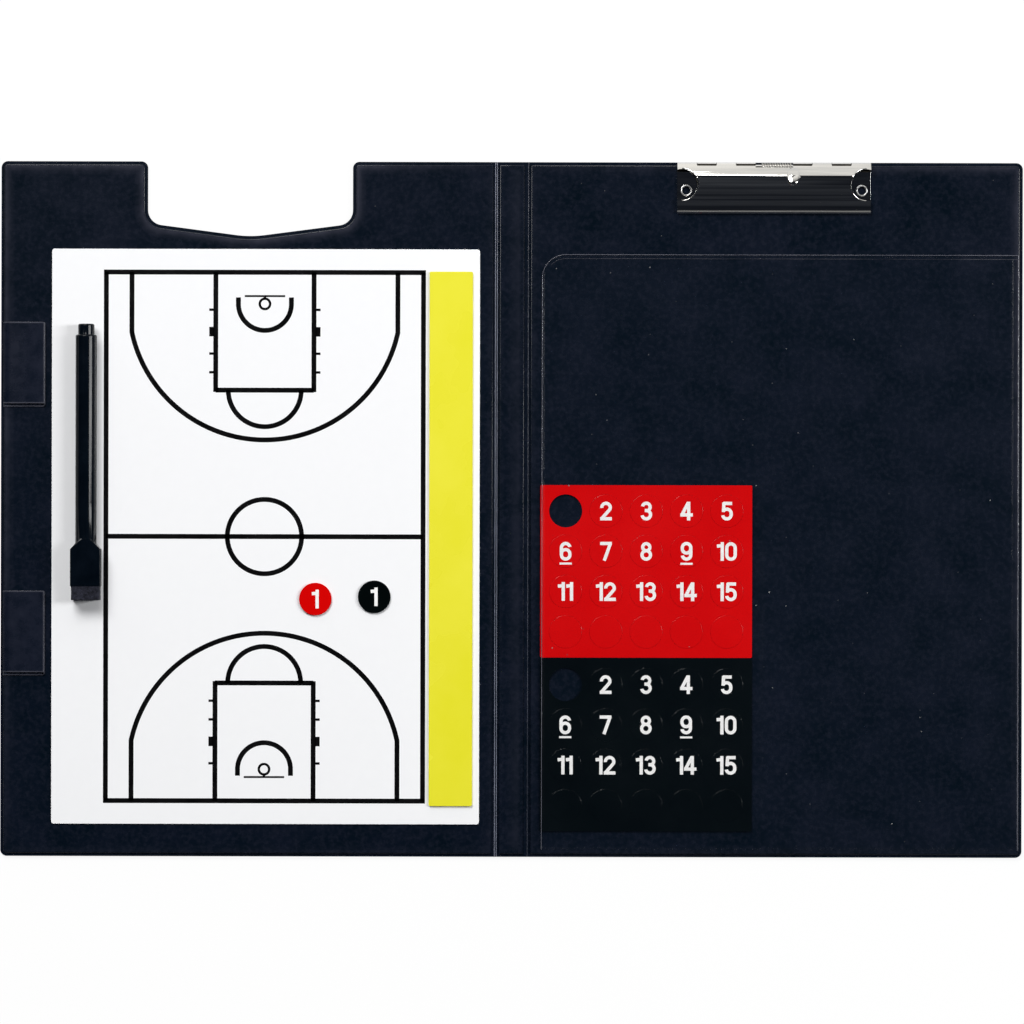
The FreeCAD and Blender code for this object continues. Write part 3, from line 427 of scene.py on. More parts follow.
def film_finish(name, alpha, dark, light):
    """Clear film: it takes a little light itself, and dust lies on it."""
    finish = Finish(name, dark, light, 22.0, (0.12, 0.22), 260.0, 0.015)
    mask = finish.add_dust(160.0, 0.05, 0.3, grey(0.3))
    clear = add_node(finish.tree, "ShaderNodeMath", operation="MULTIPLY_ADD")
    clear.inputs[1].default_value = DUST_ALPHA
    clear.inputs[2].default_value = alpha
    finish.tree.links.new(mask, clear.inputs[0])
    join(finish.tree, clear, "Value", finish.shader, "Alpha")
    return finish.material


VINYL = vinyl_finish()
LOOP_VINYL = loop_vinyl_finish()
BOARD = Finish("grey board", colour(0.12, 0.11, 0.10), colour(0.18, 0.165, 0.15),
               400.0, (0.8, 0.95), 2500.0, 0.03).material
WHITE_STEEL = Finish("white steel", colour(0.905, 0.91, 0.925), colour(0.915, 0.92, 0.935),
                     220.0, (0.2, 0.26), 500.0, 0.003, Coat_Weight=0.3).material
TAPE = Finish("foam tape", colour(0.55, 0.53, 0.48), colour(0.65, 0.63, 0.58),
              300.0, (0.6, 0.8), 3000.0, 0.02).material
INK_BLACK = Finish("court ink", colour(0.0008, 0.0008, 0.001), colour(0.003, 0.003, 0.0035),
                   120.0, (0.3, 0.4), 2500.0, 0.003, Specular_IOR_Level=0.1).material
NUMBER_WHITE = Finish("white number print", colour(0.82, 0.81, 0.80), colour(0.93, 0.93, 0.92),
                      350.0, (0.4, 0.55), 2500.0, 0.004).material
YELLOW = Finish("yellow magnet face", colour(0.77, 0.73, 0.022), colour(0.83, 0.775, 0.05),
                14.0, (0.24, 0.32), 900.0, 0.006).material
RED = Finish("red magnet face", colour(0.595, 0.0006, 0.0005), colour(0.64, 0.0012, 0.0009),
             25.0, (0.2, 0.28), 900.0, 0.004, Specular_IOR_Level=0.12).material
BLACK = Finish("black magnet face", colour(0.0003, 0.0014, 0.0016), colour(0.0009, 0.0025, 0.0027),
               25.0, (0.2, 0.28), 900.0, 0.004, Specular_IOR_Level=0.14).material
CHROME = Finish("clip chrome", colour(0.52, 0.52, 0.515), colour(0.95, 0.93, 0.89),
                260.0, (0.06, 0.13), 420.0, 0.03, stretch=(0.035, 1.0, 0.4), Metallic=1.0).material
RIVET = Finish("rivet nickel", colour(0.45, 0.45, 0.45), colour(0.62, 0.62, 0.61),
               500.0, (0.28, 0.4), 2000.0, 0.01, Metallic=1.0).material
# painted shade: dark steel on the knuckles' feet, where the slots between the knuckles lie in shadow
KNUCKLE_SHADE = Finish("knuckle steel, painted shade", colour(0.012, 0.011, 0.010), colour(0.05, 0.045, 0.038),
                 400.0, (0.3, 0.45), 1800.0, 0.01, Metallic=1.0).material
WIRE = Finish("spring wire", colour(0.42, 0.40, 0.37), colour(0.6, 0.58, 0.54),
              600.0, (0.18, 0.32), 2500.0, 0.01, Metallic=1.0).material
PEN_BLACK = Finish("gloss black plastic", colour(0.0008, 0.0022, 0.0044), colour(0.0022, 0.0042, 0.0078),
                   120.0, (0.1, 0.17), 700.0, 0.003, Specular_IOR_Level=0.15).material
PEN_PALE = Finish("pale plastic", colour(0.55, 0.55, 0.53), colour(0.66, 0.66, 0.64),
                  200.0, (0.4, 0.55), 1200.0, 0.01).material
NIB = Finish("inked fibre", colour(0.006, 0.006, 0.007), colour(0.02, 0.02, 0.022),
             900.0, (0.8, 0.95), 4000.0, 0.05).material
SEAL = Finish("soft grey seal", colour(0.10, 0.10, 0.105), colour(0.15, 0.15, 0.155),
              200.0, (0.55, 0.7), 1800.0, 0.02).material
FELT = Finish("grey felt", colour(0.0015, 0.002, 0.004), colour(0.032, 0.033, 0.05),
              420.0, (0.85, 1.0), 1500.0, 0.4, Specular_IOR_Level=0.08, Sheen_Weight=0.12).material
FILM = film_finish("clear film", 0.035, colour(0.012, 0.02, 0.036), colour(0.022, 0.03, 0.05))
FILM_EDGE = film_finish("film edge", 0.6, colour(0.09, 0.095, 0.125), colour(0.17, 0.175, 0.21))
# painted highlight: a pale line on the film inside its top edge
FILM_HIGHLIGHT_LINE = film_finish("film highlight line", 0.14, colour(0.03, 0.03, 0.045), colour(0.30, 0.30, 0.34))

NODE_FINISHES = {
    "back_board": BOARD,
    "front_board": BOARD,
    "spine_board": BOARD,
    "whiteboard_tape": TAPE,
    "red_sheet": RED,
    "black_sheet": BLACK,
    "clip_pin": CHROME,
    "clip_rivets": RIVET,
    "pen_reservoir": NIB,
    "pen_section": PEN_PALE,
    "pen_nib": NIB,
    "cap_seal": SEAL,
}


def dress_cad_nodes():
    for name, material in NODE_FINISHES.items():
        mesh = frame["nodes"][name].data
        mesh.materials.clear()
        mesh.materials.append(material)


# Making a piece from a bmesh.

def make_piece(bm, name, material, sharp=SHARP_TURN):
    mesh = bpy.data.meshes.new(name)
    bm.to_mesh(mesh)
    bm.free()
    mesh.materials.append(material)
    smooth = [face.use_smooth for face in mesh.polygons]
    mesh.set_sharp_from_angle(angle=math.radians(sharp))
    mesh.polygons.foreach_set("use_smooth", smooth)
    piece = bpy.data.objects.new(name, mesh)
    bpy.context.scene.collection.objects.link(piece)
    return piece


def add_thickness(piece, thickness, offset):
    wall = piece.modifiers.new("thickness", "SOLIDIFY")
    wall.thickness = thickness * MM
    wall.offset = offset
    wall.use_even_offset = True


def ease_edges(piece, width):
    bevel = piece.modifiers.new("eased edges", "BEVEL")
    bevel.width = width * MM
    bevel.segments = EASE_SEGMENTS
    bevel.limit_method = "ANGLE"
    bevel.angle_limit = math.radians(EASED_TURN)
    bevel.harden_normals = True


def shade_smooth(bm):
    for face in bm.faces:
        face.smooth = True


def cad_copy(node_name):
    """A copy of a CAD piece's mesh, with its loose triangles joined to flat faces."""
    bm = bmesh.new()
    bm.from_mesh(frame["nodes"][node_name].data)
    bmesh.ops.remove_doubles(bm, verts=bm.verts, dist=MERGE * MM)
    bmesh.ops.dissolve_limit(bm, angle_limit=math.radians(FLAT_TURN), verts=bm.verts, edges=bm.edges)
    return bm


def cut_across(bm, y, reach, **sides):
    """Cuts a mesh at a height up the page."""
    everything = list(bm.verts) + list(bm.edges) + list(bm.faces)
    bmesh.ops.bisect_plane(bm, geom=everything, dist=reach * MM, plane_co=mm(0, y, 0),
                           plane_no=(0, 1, 0), **sides)


def softened(node_name, material, edge):
    """A copy of a CAD piece with its sharp edges eased, which stands for it."""
    bm = cad_copy(node_name)
    shade_smooth(bm)
    piece = make_piece(bm, node_name + "_eased", material)
    ease_edges(piece, edge)
    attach(piece, frame["nodes"][node_name]["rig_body"])
    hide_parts(node_name)


# Covers and spine.

def cross(first, second):
    return first.x * second.y - first.y * second.x


def shrunk_corners(corners, inset, fold_inset):
    """The outline drawn in from its edges by an inset, and by another one along a fold."""
    sides = []
    for index, corner in enumerate(corners):
        start = Vector(corner[:2])
        end = Vector(corners[(index + 1) % len(corners)][:2])
        way = (end - start).normalized()
        at_fold = abs(start.x - end.x) < UPRIGHT and abs(start.x) < FOLD_X + 2 * WEB_HALF
        depth = fold_inset if at_fold else inset
        sides.append((start + Vector((-way.y, way.x)) * depth, way))
    shrunk = []
    for index, corner in enumerate(corners):
        first, arriving = sides[index - 1]
        second, leaving = sides[index]
        turn = cross(arriving, leaving)
        meeting = first + arriving * (cross(second - first, leaving) / turn)
        radius = corner[2]
        if radius > 0:
            radius = max(radius - math.copysign(inset, turn), LEAST_RADIUS)
        shrunk.append((meeting.x, meeting.y, radius))
    return shrunk


def rounded_points(corners):
    """The points of an outline whose corners are rounded, each to its own radius."""
    points = []
    for index, (x, y, radius) in enumerate(corners):
        corner = Vector((x, y))
        if radius == 0:
            points.append(corner)
            continue
        arriving = (corner - Vector(corners[index - 1][:2])).normalized()
        leaving = (Vector(corners[(index + 1) % len(corners)][:2]) - corner).normalized()
        turn = math.atan2(cross(arriving, leaving), arriving.dot(leaving))
        start = corner - arriving * radius * math.tan(abs(turn) / 2)
        centre = start + Vector((-arriving.y, arriving.x)) * math.copysign(radius, turn)
        for step in range(CORNER_STEPS + 1):
            points.append(centre + Matrix.Rotation(turn * step / CORNER_STEPS, 2) @ (start - centre))
    return points


def cover_corners(side, notched):
    """One cover's outline as x, y and corner radius, anticlockwise seen from above."""
    top = COVER_TOP
    fold = (FOLD_X + WEB_HALF) * side
    edge = COVER_EDGE * side
    corners = [(fold, -top, 0), (edge, -top, COVER_CORNER), (edge, top, COVER_CORNER)]
    if notched:
        centre = CLIP_X * side
        reach = NOTCH_HALF * side
        floor = top - NOTCH_SIDE
        corners += [
            (centre + reach, top, COVER_CORNER),
            (centre + reach, floor, NOTCH_CORNER),
            (centre, top - NOTCH_CENTRE, NOTCH_CROWN),
            (centre - reach, floor, NOTCH_CORNER),
            (centre - reach, top, COVER_CORNER),
        ]
    corners.append((fold, top, 0))
    return corners if side > 0 else corners[::-1]


def spine_corners():
    half = FOLD_X - WEB_HALF
    top = COVER_TOP
    return [(-half, -top, 0), (half, -top, 0), (half, top, 0), (-half, top, 0)]


def rubbed_share(place):
    """How much painted highlight a skin gets along its edge: most at the top, least at the folds and the
    foot.
    """
    if abs(abs(place.x) - FOLD_X) < EDGE_REACH or place.y < FOOT_REACH - COVER_TOP:
        return LEAST_EDGE_HIGHLIGHT
    if abs(place.x) > COVER_EDGE - EDGE_REACH:
        return FORE_EDGE_HIGHLIGHT
    return 1.0


def skin_profile(soft_rings):
    """A skin's rings from its edge inwards: two insets, height and how much painted highlight it gets.
    """
    rings = [(0.0, 0.0, SKIN, 0.0), (FLANGE, FOLD_FLANGE, SKIN, 0.0)]
    rise = COVER_FACE - COVER_MIDDLE - SKIN
    for step in range(CREST_STEPS + 1):
        angle = math.radians(CREST_TURN * (1 - step / CREST_STEPS))
        reach = WALL + CREST * (1 - math.sin(angle))
        level = SKIN + rise - CREST * (1 - math.cos(angle))
        highlight_level = CREST_HIGHLIGHT * step / CREST_STEPS
        rings.append((FLANGE + reach, FOLD_FLANGE + reach, level, highlight_level))
    for reach, highlight_level in soft_rings:
        reach += WALL + CREST
        rings.append((FLANGE + reach, FOLD_FLANGE + reach, SKIN + rise, highlight_level))
    return rings


def vinyl_skin(name, corners, soft_rings, up, body, node):
    """One skin: a flat weld edge, a soft shoulder, and the field over the stiff board."""
    bm = bmesh.new()
    painted_highlight = bm.verts.layers.float.new("painted_highlight")
    outer = None
    for inset, fold_inset, level, highlight_level in skin_profile(soft_rings):
        ring = []
        for place in rounded_points(shrunk_corners(corners, inset, fold_inset)):
            vert = bm.verts.new(mm(place.x, place.y, level))
            # painted highlight: the shoulder and a band inside it are lightened, most along the top edge
            vert[painted_highlight] = highlight_level * rubbed_share(place)
            ring.append(vert)
        if outer:
            for quad in zip(outer, outer[1:] + outer[:1], ring[1:] + ring[:1], ring):
                bm.faces.new(quad).smooth = level > SKIN
        outer = ring
    # painted light: the spine's field is lightened on its right half only
    if body == "spine":
        for vert in outer:
            vert[painted_highlight] = SPINE_HIGHLIGHT if vert.co.x > 0 else 0.0
    bm.faces.new(outer)
    if not up:
        bmesh.ops.scale(bm, vec=(1, 1, -1), verts=bm.verts)
        bmesh.ops.reverse_faces(bm, faces=bm.faces)
    bmesh.ops.translate(bm, vec=mm(0, 0, COVER_MIDDLE), verts=bm.verts)
    piece = make_piece(bm, name, VINYL, sharp=50.0)
    add_thickness(piece, SKIN, -1.0)
    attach(piece, body)
    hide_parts(node)


def vinyl_skins():
    for word, up in (("inner", True), ("outer", False)):
        for cover, side, notched in (("front", -1, True), ("back", 1, False)):
            corners = cover_corners(side, notched)
            vinyl_skin(f"{cover}_{word}_vinyl", corners, COVER_RINGS, up,
                       f"{cover}_cover", f"{cover}_{word}_skin")
        vinyl_skin(f"spine_{word}_vinyl", spine_corners(), SPINE_RINGS, up,
                   "spine", f"spine_{word}_skin")


def weld_ridge(distance):
    """The share of a small rounded ridge's height at a distance from its crest."""
    if abs(distance) > WELD_HALF:
        return 0.0
    return 0.5 + 0.5 * math.cos(math.pi * distance / WELD_HALF)


def fold_web(name, fold, crests, ridge_highlight):
    """The welded web that a cover folds on, with the ridges that the weld bar leaves."""
    bm = bmesh.new()
    weld = bm.verts.layers.float.new("weld")
    area = placed(fold, 0, SKIN) @ Matrix.Diagonal((2 * WEB_HALF * MM, 2 * COVER_TOP * MM, 1, 1))
    bmesh.ops.create_grid(bm, x_segments=WEB_STEPS, y_segments=1, size=0.5, matrix=area)
    top = list(bm.verts)
    made = bmesh.ops.extrude_face_region(bm, geom=list(bm.faces), use_keep_orig=True)
    under = [item for item in made["geom"] if isinstance(item, bmesh.types.BMVert)]
    bmesh.ops.translate(bm, vec=mm(0, 0, -2 * SKIN), verts=under)
    for vert in top:
        across = vert.co.x / MM - fold
        height = sum(weld_ridge(across - crest) for crest in crests)
        vert.co.z += height * WELD_HEIGHT * MM
        # painted highlight along the weld ridges, kept in the weld attribute
        vert[weld] = height * ridge_highlight
    bmesh.ops.translate(bm, vec=mm(0, 0, COVER_MIDDLE), verts=bm.verts)
    bmesh.ops.recalc_face_normals(bm, faces=bm.faces)
    shade_smooth(bm)
    piece = make_piece(bm, name, VINYL, sharp=60.0)
    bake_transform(piece)


def fold_webs():
    fold_web("front_fold_web", -FOLD_X, FRONT_CRESTS, FRONT_WELD_HIGHLIGHT)
    fold_web("back_fold_web", FOLD_X, BACK_CRESTS, BACK_WELD_HIGHLIGHT)


# Print on the whiteboard and on the magnets: thin layers of ink.

def ink_bar(bm, start, end, width, level):
    """A straight stroke of ink between two points."""
    first = Vector(start)
    last = Vector(end)
    run = last - first
    centre = (first + last) / 2
    turn = Matrix.Rotation(math.atan2(run.y, run.x), 4, "Z")
    size = Matrix.Diagonal((run.length * MM, width * MM, 1, 1))
    bmesh.ops.create_grid(bm, x_segments=1, y_segments=1, size=0.5,
                          matrix=placed(centre.x, centre.y, level) @ turn @ size)


def ink_arc(bm, centre, radius, width, start, end, level):
    """A curved stroke of ink, spun from a short edge across it; angles in degrees."""
    middle = mm(centre[0], centre[1], level)
    way = Vector((math.cos(math.radians(start)), math.sin(math.radians(start)), 0))
    inside = bm.verts.new(middle + way * (radius - width / 2) * MM)
    outside = bm.verts.new(middle + way * (radius + width / 2) * MM)
    line = bm.edges.new((inside, outside))
    sweep = math.radians(end - start)
    steps = max(ARC_LEAST_STEPS, round(abs(sweep) * radius / ARC_STEP))
    bmesh.ops.spin(bm, geom=[inside, outside, line], cent=middle, axis=(0, 0, 1), angle=sweep,
                   steps=min(steps, ARC_MOST_STEPS), use_merge=end - start == 360)


def ink_layer(bm, name, material, body):
    """Turns drawn strokes into a thin raised layer that rides on a body."""
    for face in bm.faces:
        if face.normal.z < 0:
            face.normal_flip()
    piece = make_piece(bm, name, material)
    add_thickness(piece, INK, 1.0)
    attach(piece, body)


def court_end(bm, side, level):
    """One end of the court, drawn from the middle of the court outwards."""
    def spot(x, y):
        return COURT_X + x, COURT_Y + y * side

    def bar(x0, y0, x1, y1, width=COURT_LINE):
        ink_bar(bm, spot(x0, y0), spot(x1, y1), width, level)

    def bend(centre_y, radius, trim=0.0):
        middle = 270 if side > 0 else 90
        half = 90 - trim
        ink_arc(bm, spot(0, centre_y), radius, COURT_LINE, middle - half, middle + half, level)

    bend(BASKET_Y, FAR_RADIUS, FAR_TRIM)
    bend(FREE_THROW_Y, FREE_THROW_RADIUS)
    bend(BASKET_Y, NEAR_RADIUS)
    bar(-LANE_X, FREE_THROW_Y, LANE_X, FREE_THROW_Y)
    bar(-BACKBOARD_HALF, BACKBOARD_Y, BACKBOARD_HALF, BACKBOARD_Y, BACKBOARD_LINE)
    bar(0, RING_NECK_Y, 0, BACKBOARD_Y, FINE_LINE)
    ink_arc(bm, spot(0, BASKET_Y), RING_RADIUS, FINE_LINE, 0, 360, level)
    for flank in (-1, 1):
        far_x = FAR_SIDE_X * flank
        lane_x = LANE_X * flank
        near_x = NEAR_RADIUS * flank
        inner_x = MARK_INNER_X * flank
        outer_x = MARK_OUTER_X * flank
        bar(far_x, FAR_SIDE_Y, far_x, COURT_HALF_LENGTH)
        bar(lane_x, LANE_FOOT_Y, lane_x, COURT_HALF_LENGTH)
        bar(near_x, BASKET_Y, near_x, BASKET_Y + NEAR_ARM)
        for height in MARK_HEIGHTS:
            bar(inner_x, height, outer_x, height, FINE_LINE)
        bar(inner_x, BLOCK_Y, outer_x, BLOCK_Y, BLOCK_LINE)


def court_print():
    level = node_box("whiteboard_sheet")[1].z
    bm = bmesh.new()
    width = COURT_HALF_WIDTH
    length = COURT_HALF_LENGTH
    reach = COURT_LINE / 2
    for side in (-1, 1):
        across = COURT_Y + length * side
        along = COURT_X + width * side
        ink_bar(bm, (COURT_X - width - reach, across), (COURT_X + width + reach, across),
                COURT_LINE, level)
        ink_bar(bm, (along, COURT_Y - length), (along, COURT_Y + length), COURT_LINE, level)
        court_end(bm, side, level)
    ink_bar(bm, (COURT_X - width, COURT_Y), (COURT_X + width, COURT_Y), COURT_LINE, level)
    ink_arc(bm, (COURT_X, COURT_Y), CENTRE_RADIUS, COURT_LINE, 0, 360, level)
    ink_layer(bm, "court_print", INK_BLACK, "front_cover")


# Each digit is drawn in a box 5.4 wide and 8.6 tall about its middle line.
# A bar is x, y, x, y and a bend is centre x, centre y, radius, start and end angle.
DIGIT_BARS = {
    "0": ((-1.95, 2.7, -1.95, 5.9), (1.95, 2.7, 1.95, 5.9)),
    "1": ((0.85, 0.0, 0.85, 8.6), (-1.6, 6.75, 0.4, 6.95)),
    "2": ((1.62, 4.9, -1.85, 0.9), (-2.7, 0.72, 2.7, 0.72)),
    "3": ((-0.7, 4.55, 0.5, 4.55),),
    "4": ((0.95, 0.0, 0.95, 8.6), (-2.85, 2.55, 2.85, 2.55), (-2.15, 2.6, 0.75, 8.2)),
    "5": ((-1.75, 7.88, 2.35, 7.88), (-1.6, 3.9, -1.35, 8.3), (1.95, 2.7, 1.95, 3.3)),
    "6": ((-1.95, 2.6, -1.95, 5.9), (1.95, 2.6, 1.95, 3.1)),
    "7": ((-2.7, 7.88, 2.7, 7.88), (1.95, 7.6, -0.75, 0.0)),
    "8": (),
    "9": ((1.95, 2.7, 1.95, 6.0), (-1.95, 5.5, -1.95, 6.0)),
}
DIGIT_BENDS = {
    "0": ((0, 5.9, 1.95, 0, 180), (0, 2.7, 1.95, 180, 360)),
    "1": (),
    "2": ((0, 5.9, 1.95, -32, 185),),
    "3": ((0, 6.15, 1.75, -85, 170), (0, 2.65, 1.95, -170, 85)),
    "4": (),
    "5": ((0, 3.3, 1.95, 0, 150), (0, 2.7, 1.95, -170, 0)),
    "6": ((0, 5.9, 1.95, 10, 180), (0, 2.6, 1.95, 180, 360), (0, 3.1, 1.95, 0, 180)),
    "7": (),
    "8": ((0, 6.2, 1.65, 0, 360), (0, 2.65, 1.95, 0, 360)),
    "9": ((0, 2.7, 1.95, 190, 360), (0, 6.0, 1.95, 0, 180), (0, 5.5, 1.95, 180, 360)),
}
UNDERLINED = ("6", "9")


def digit_width(digit):
    return ONE_WIDTH if digit == "1" else DIGIT_WIDTH


def draw_number(bm, number, x, y, level):
    """Draws a number about a centre, and underlines the ones that read both ways up."""
    digits = str(number)
    total = sum(digit_width(digit) for digit in digits) + DIGIT_GAP * (len(digits) - 1)
    cursor = x - total / 2
    foot = y - DIGIT_HEIGHT / 2
    for digit in digits:
        middle = cursor + digit_width(digit) / 2
        layer = level
        for x0, y0, x1, y1 in DIGIT_BARS[digit]:
            ink_bar(bm, (middle + x0, foot + y0), (middle + x1, foot + y1), STROKE, layer)
            layer += INK_STEP
        for bend_x, bend_y, radius, start, end in DIGIT_BENDS[digit]:
            ink_arc(bm, (middle + bend_x, foot + bend_y), radius, STROKE, start, end, layer)
            layer += INK_STEP
        cursor += digit_width(digit) + DIGIT_GAP
    if digits in UNDERLINED:
        under = foot - UNDERLINE_DROP
        ink_bar(bm, (x - UNDERLINE_HALF, under), (x + UNDERLINE_HALF, under), UNDERLINE, level)


def sheet_places(sheet):
    """The middles of a sheet's cells, row by row from its upper left."""
    low, high = node_box(sheet)
    centre = (low + high) / 2
    places = []
    for row in range(SHEET_ROWS):
        for column in range(SHEET_COLUMNS):
            x = centre.x + SHEET_PITCH * (column - (SHEET_COLUMNS - 1) / 2)
            y = centre.y - SHEET_PITCH * (row - (SHEET_ROWS - 1) / 2)
            places.append((x, y))
    return places


def magnet_discs(name, places, level, radius, thickness, material, body, nodes):
    """Flat magnet discs with a slightly rounded upper edge."""
    bm = bmesh.new()
    for x, y in places:
        bmesh.ops.create_cone(bm, cap_ends=True, segments=DISC_SEGMENTS,
                              radius1=radius * MM, radius2=radius * MM, depth=thickness * MM,
                              matrix=placed(x, y, level + thickness / 2))
    crest = (level + thickness - DISC_CREST) * MM
    rims = [edge for edge in bm.edges if min(vert.co.z for vert in edge.verts) > crest]
    bmesh.ops.bevel(bm, geom=rims, offset=DISC_EASE * MM, offset_type="OFFSET", affect="EDGES",
                    segments=EASE_SEGMENTS, profile=0.5, material=-1)
    for face in bm.faces:
        face.smooth = len(face.verts) < 5
    piece = make_piece(bm, name, material)
    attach(piece, body)
    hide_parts(*nodes)


def magnet_sheet(colour_name, material):
    """The discs that are still in a punched sheet, and the numbers on them."""
    sheet = f"{colour_name}_sheet"
    body = f"{colour_name}_set"
    low, high = node_box(sheet)
    places = sheet_places(sheet)
    numbered = places[1:HIGHEST_NUMBER]
    plain = places[HIGHEST_NUMBER:]
    for word, chosen in (("numbered", numbered), ("plain", plain)):
        node = f"{colour_name}_{word}_discs"
        magnet_discs(f"{node}_eased", chosen, low.z, SHEET_DISC_RADIUS, high.z - low.z,
                     material, body, [node])
    bm = bmesh.new()
    for number, (x, y) in enumerate(numbered, start=2):
        draw_number(bm, number, x, y, high.z)
    ink_layer(bm, f"{colour_name}_sheet_numbers", NUMBER_WHITE, body)


def loose_disc(colour_name, material):
    node = f"{colour_name}_disc_1"
    body = f"{colour_name}_disc"
    low, high = node_box(node)
    centre = (low + high) / 2
    magnet_discs(f"{node}_eased", [(centre.x, centre.y)], low.z, LOOSE_DISC_RADIUS, high.z - low.z,
                 material, body, [node])
    bm = bmesh.new()
    draw_number(bm, 1, centre.x, centre.y, high.z)
    ink_layer(bm, f"{colour_name}_disc_number", NUMBER_WHITE, body)


# Clear pocket.

FILM_CORNER = 11.0
FILM_CORNER_STEPS = 15
FILM_EDGE_STEP = 2.0
FILM_SHEET = 0.25
FILM_COLUMNS = 109
FILM_ROWS = 137
# how the film lies: its slope off the magnet sheets, and its ripple on the cover
FILM_MARGIN = 1.0
FILM_RUN = 7.0
FILM_RIPPLE = 0.04
FILM_RIPPLE_SCALE = 0.035
FILM_RIPPLE_SEED = 4.0
BEAD = 0.17
BEAD_INSET = 0.2
HIGHLIGHT_LINE_RADIUS = 0.13
HIGHLIGHT_LINE_INSET = 2.0
HIGHLIGHT_LINE_DROP = 3.0
FILM_WELD = 0.3
FILM_WELD_STEPS = 300
FILM_WELD_X = 233.2
FILM_WELD_WAVE = 0.1
FILM_WELD_FAST = 0.9
FILM_WELD_SLOW = 0.37
TUBE_RESOLUTION = 3


def film_level(x, y):
    """The film's upper face: flat on the cover, and lifted over the two magnet sheets."""
    low = node_box("black_sheet")[0]
    high = node_box("red_sheet")[1]
    beyond = max(x - high.x, y - high.y, low.y - y, 0.0) - FILM_MARGIN
    lift = smooth_step(1 - beyond / FILM_RUN)
    rest = COVER_FACE + FILM_SHEET
    crest = node_box("pocket_film")[1].z
    place = Vector((x * FILM_RIPPLE_SCALE, y * FILM_RIPPLE_SCALE, FILM_RIPPLE_SEED))
    ripple = noise.noise(place) * FILM_RIPPLE + FILM_RIPPLE
    return rest + (crest - rest) * lift + ripple * (1 - lift)


def round_film_corner(x, y, low, high):
    """Draws the square corner of the film's grid in to a quarter circle."""
    across = (low.x + FILM_CORNER - x) / FILM_CORNER
    up = (y - high.y + FILM_CORNER) / FILM_CORNER
    if across <= 0 or up <= 0:
        return x, y
    round_across = across * math.sqrt(1 - up * up / 2)
    round_up = up * math.sqrt(1 - across * across / 2)
    return low.x + FILM_CORNER * (1 - round_across), high.y - FILM_CORNER * (1 - round_up)


def pocket_film():
    low, high = node_box("pocket_film")
    centre = (low + high) / 2
    bm = bmesh.new()
    size = Matrix.Diagonal(((high.x - low.x) * MM, (high.y - low.y) * MM, 1, 1))
    bmesh.ops.create_grid(bm, x_segments=FILM_COLUMNS, y_segments=FILM_ROWS, size=0.5,
                          matrix=placed(centre.x, centre.y, 0) @ size)
    for vert in bm.verts:
        x, y = round_film_corner(vert.co.x / MM, vert.co.y / MM, low, high)
        vert.co = mm(x, y, film_level(x, y))
    shade_smooth(bm)
    piece = make_piece(bm, "pocket_film_draped", FILM, sharp=80.0)
    add_thickness(piece, FILM_SHEET, -1.0)
    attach(piece, "back_cover")
    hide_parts("pocket_film")


def tube_along(name, points, radius, material):
    """A round tube through points, made a mesh."""
    line = bpy.data.curves.new(name, "CURVE")
    line.dimensions = "3D"
    line.bevel_depth = radius * MM
    line.bevel_resolution = TUBE_RESOLUTION
    line.use_fill_caps = True
    spline = line.splines.new("POLY")
    spline.points.add(len(points) - 1)
    for place, point in zip(spline.points, points):
        place.co = (*(point * MM), 1.0)
    carrier = bpy.data.objects.new(name, line)
    bpy.context.scene.collection.objects.link(carrier)
    mesh = bpy.data.meshes.new_from_object(carrier)
    bpy.data.objects.remove(carrier)
    bm = bmesh.new()
    bm.from_mesh(mesh)
    bpy.data.meshes.remove(mesh)
    bmesh.ops.remove_doubles(bm, verts=bm.verts, dist=MERGE * MM)
    bmesh.ops.recalc_face_normals(bm, faces=bm.faces)
    shade_smooth(bm)
    return make_piece(bm, name, material)


def film_edge_path(inset):
    """The film's two free edges as points, from its foot round the corner to the weld."""
    low, high = node_box("pocket_film")
    left = low.x + inset
    top = high.y - inset
    turn = FILM_CORNER - inset
    places = []
    count = int((top - turn - low.y) / FILM_EDGE_STEP)
    for index in range(count + 1):
        places.append((left, low.y + (top - turn - low.y) * index / count))
    for index in range(1, FILM_CORNER_STEPS + 1):
        angle = math.radians(180 - 90 * index / FILM_CORNER_STEPS)
        places.append((left + turn + turn * math.cos(angle), top - turn + turn * math.sin(angle)))
    count = int((FILM_WELD_X - left - turn) / FILM_EDGE_STEP)
    for index in range(1, count + 1):
        places.append((left + turn + (FILM_WELD_X - left - turn) * index / count, top))
    return [Vector((x, y, film_level(x, y))) for x, y in places]


def film_weld_path():
    """The line where the film is welded along the cover's fore edge, a little uneven."""
    low, high = node_box("pocket_film")
    points = []
    for index in range(FILM_WELD_STEPS + 1):
        y = low.y + (high.y - low.y) * index / FILM_WELD_STEPS
        wave = math.sin(FILM_WELD_FAST * y) * math.sin(FILM_WELD_SLOW * y)
        points.append(Vector((FILM_WELD_X + FILM_WELD_WAVE * wave, y, COVER_FACE)))
    return points


def pocket_edges():
    """The heat-cut bead along the free edges, a pale line inside it that is a painted highlight, and the
    weld.
    """
    edge = film_edge_path(BEAD_INSET)
    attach(tube_along("pocket_edge_bead", edge, BEAD, FILM_EDGE), "back_cover")
    # painted highlight: a pale tube along the top edge, inside the bead
    inner = film_edge_path(HIGHLIGHT_LINE_INSET)
    along_top = [point for point in inner if point.y > inner[-1].y - HIGHLIGHT_LINE_DROP]
    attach(tube_along("pocket_edge_highlight_line", along_top, HIGHLIGHT_LINE_RADIUS, FILM_HIGHLIGHT_LINE), "back_cover")
    weld = film_weld_path()
    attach(tube_along("pocket_weld", weld, FILM_WELD, FILM_EDGE), "back_cover")


# Spring clip.

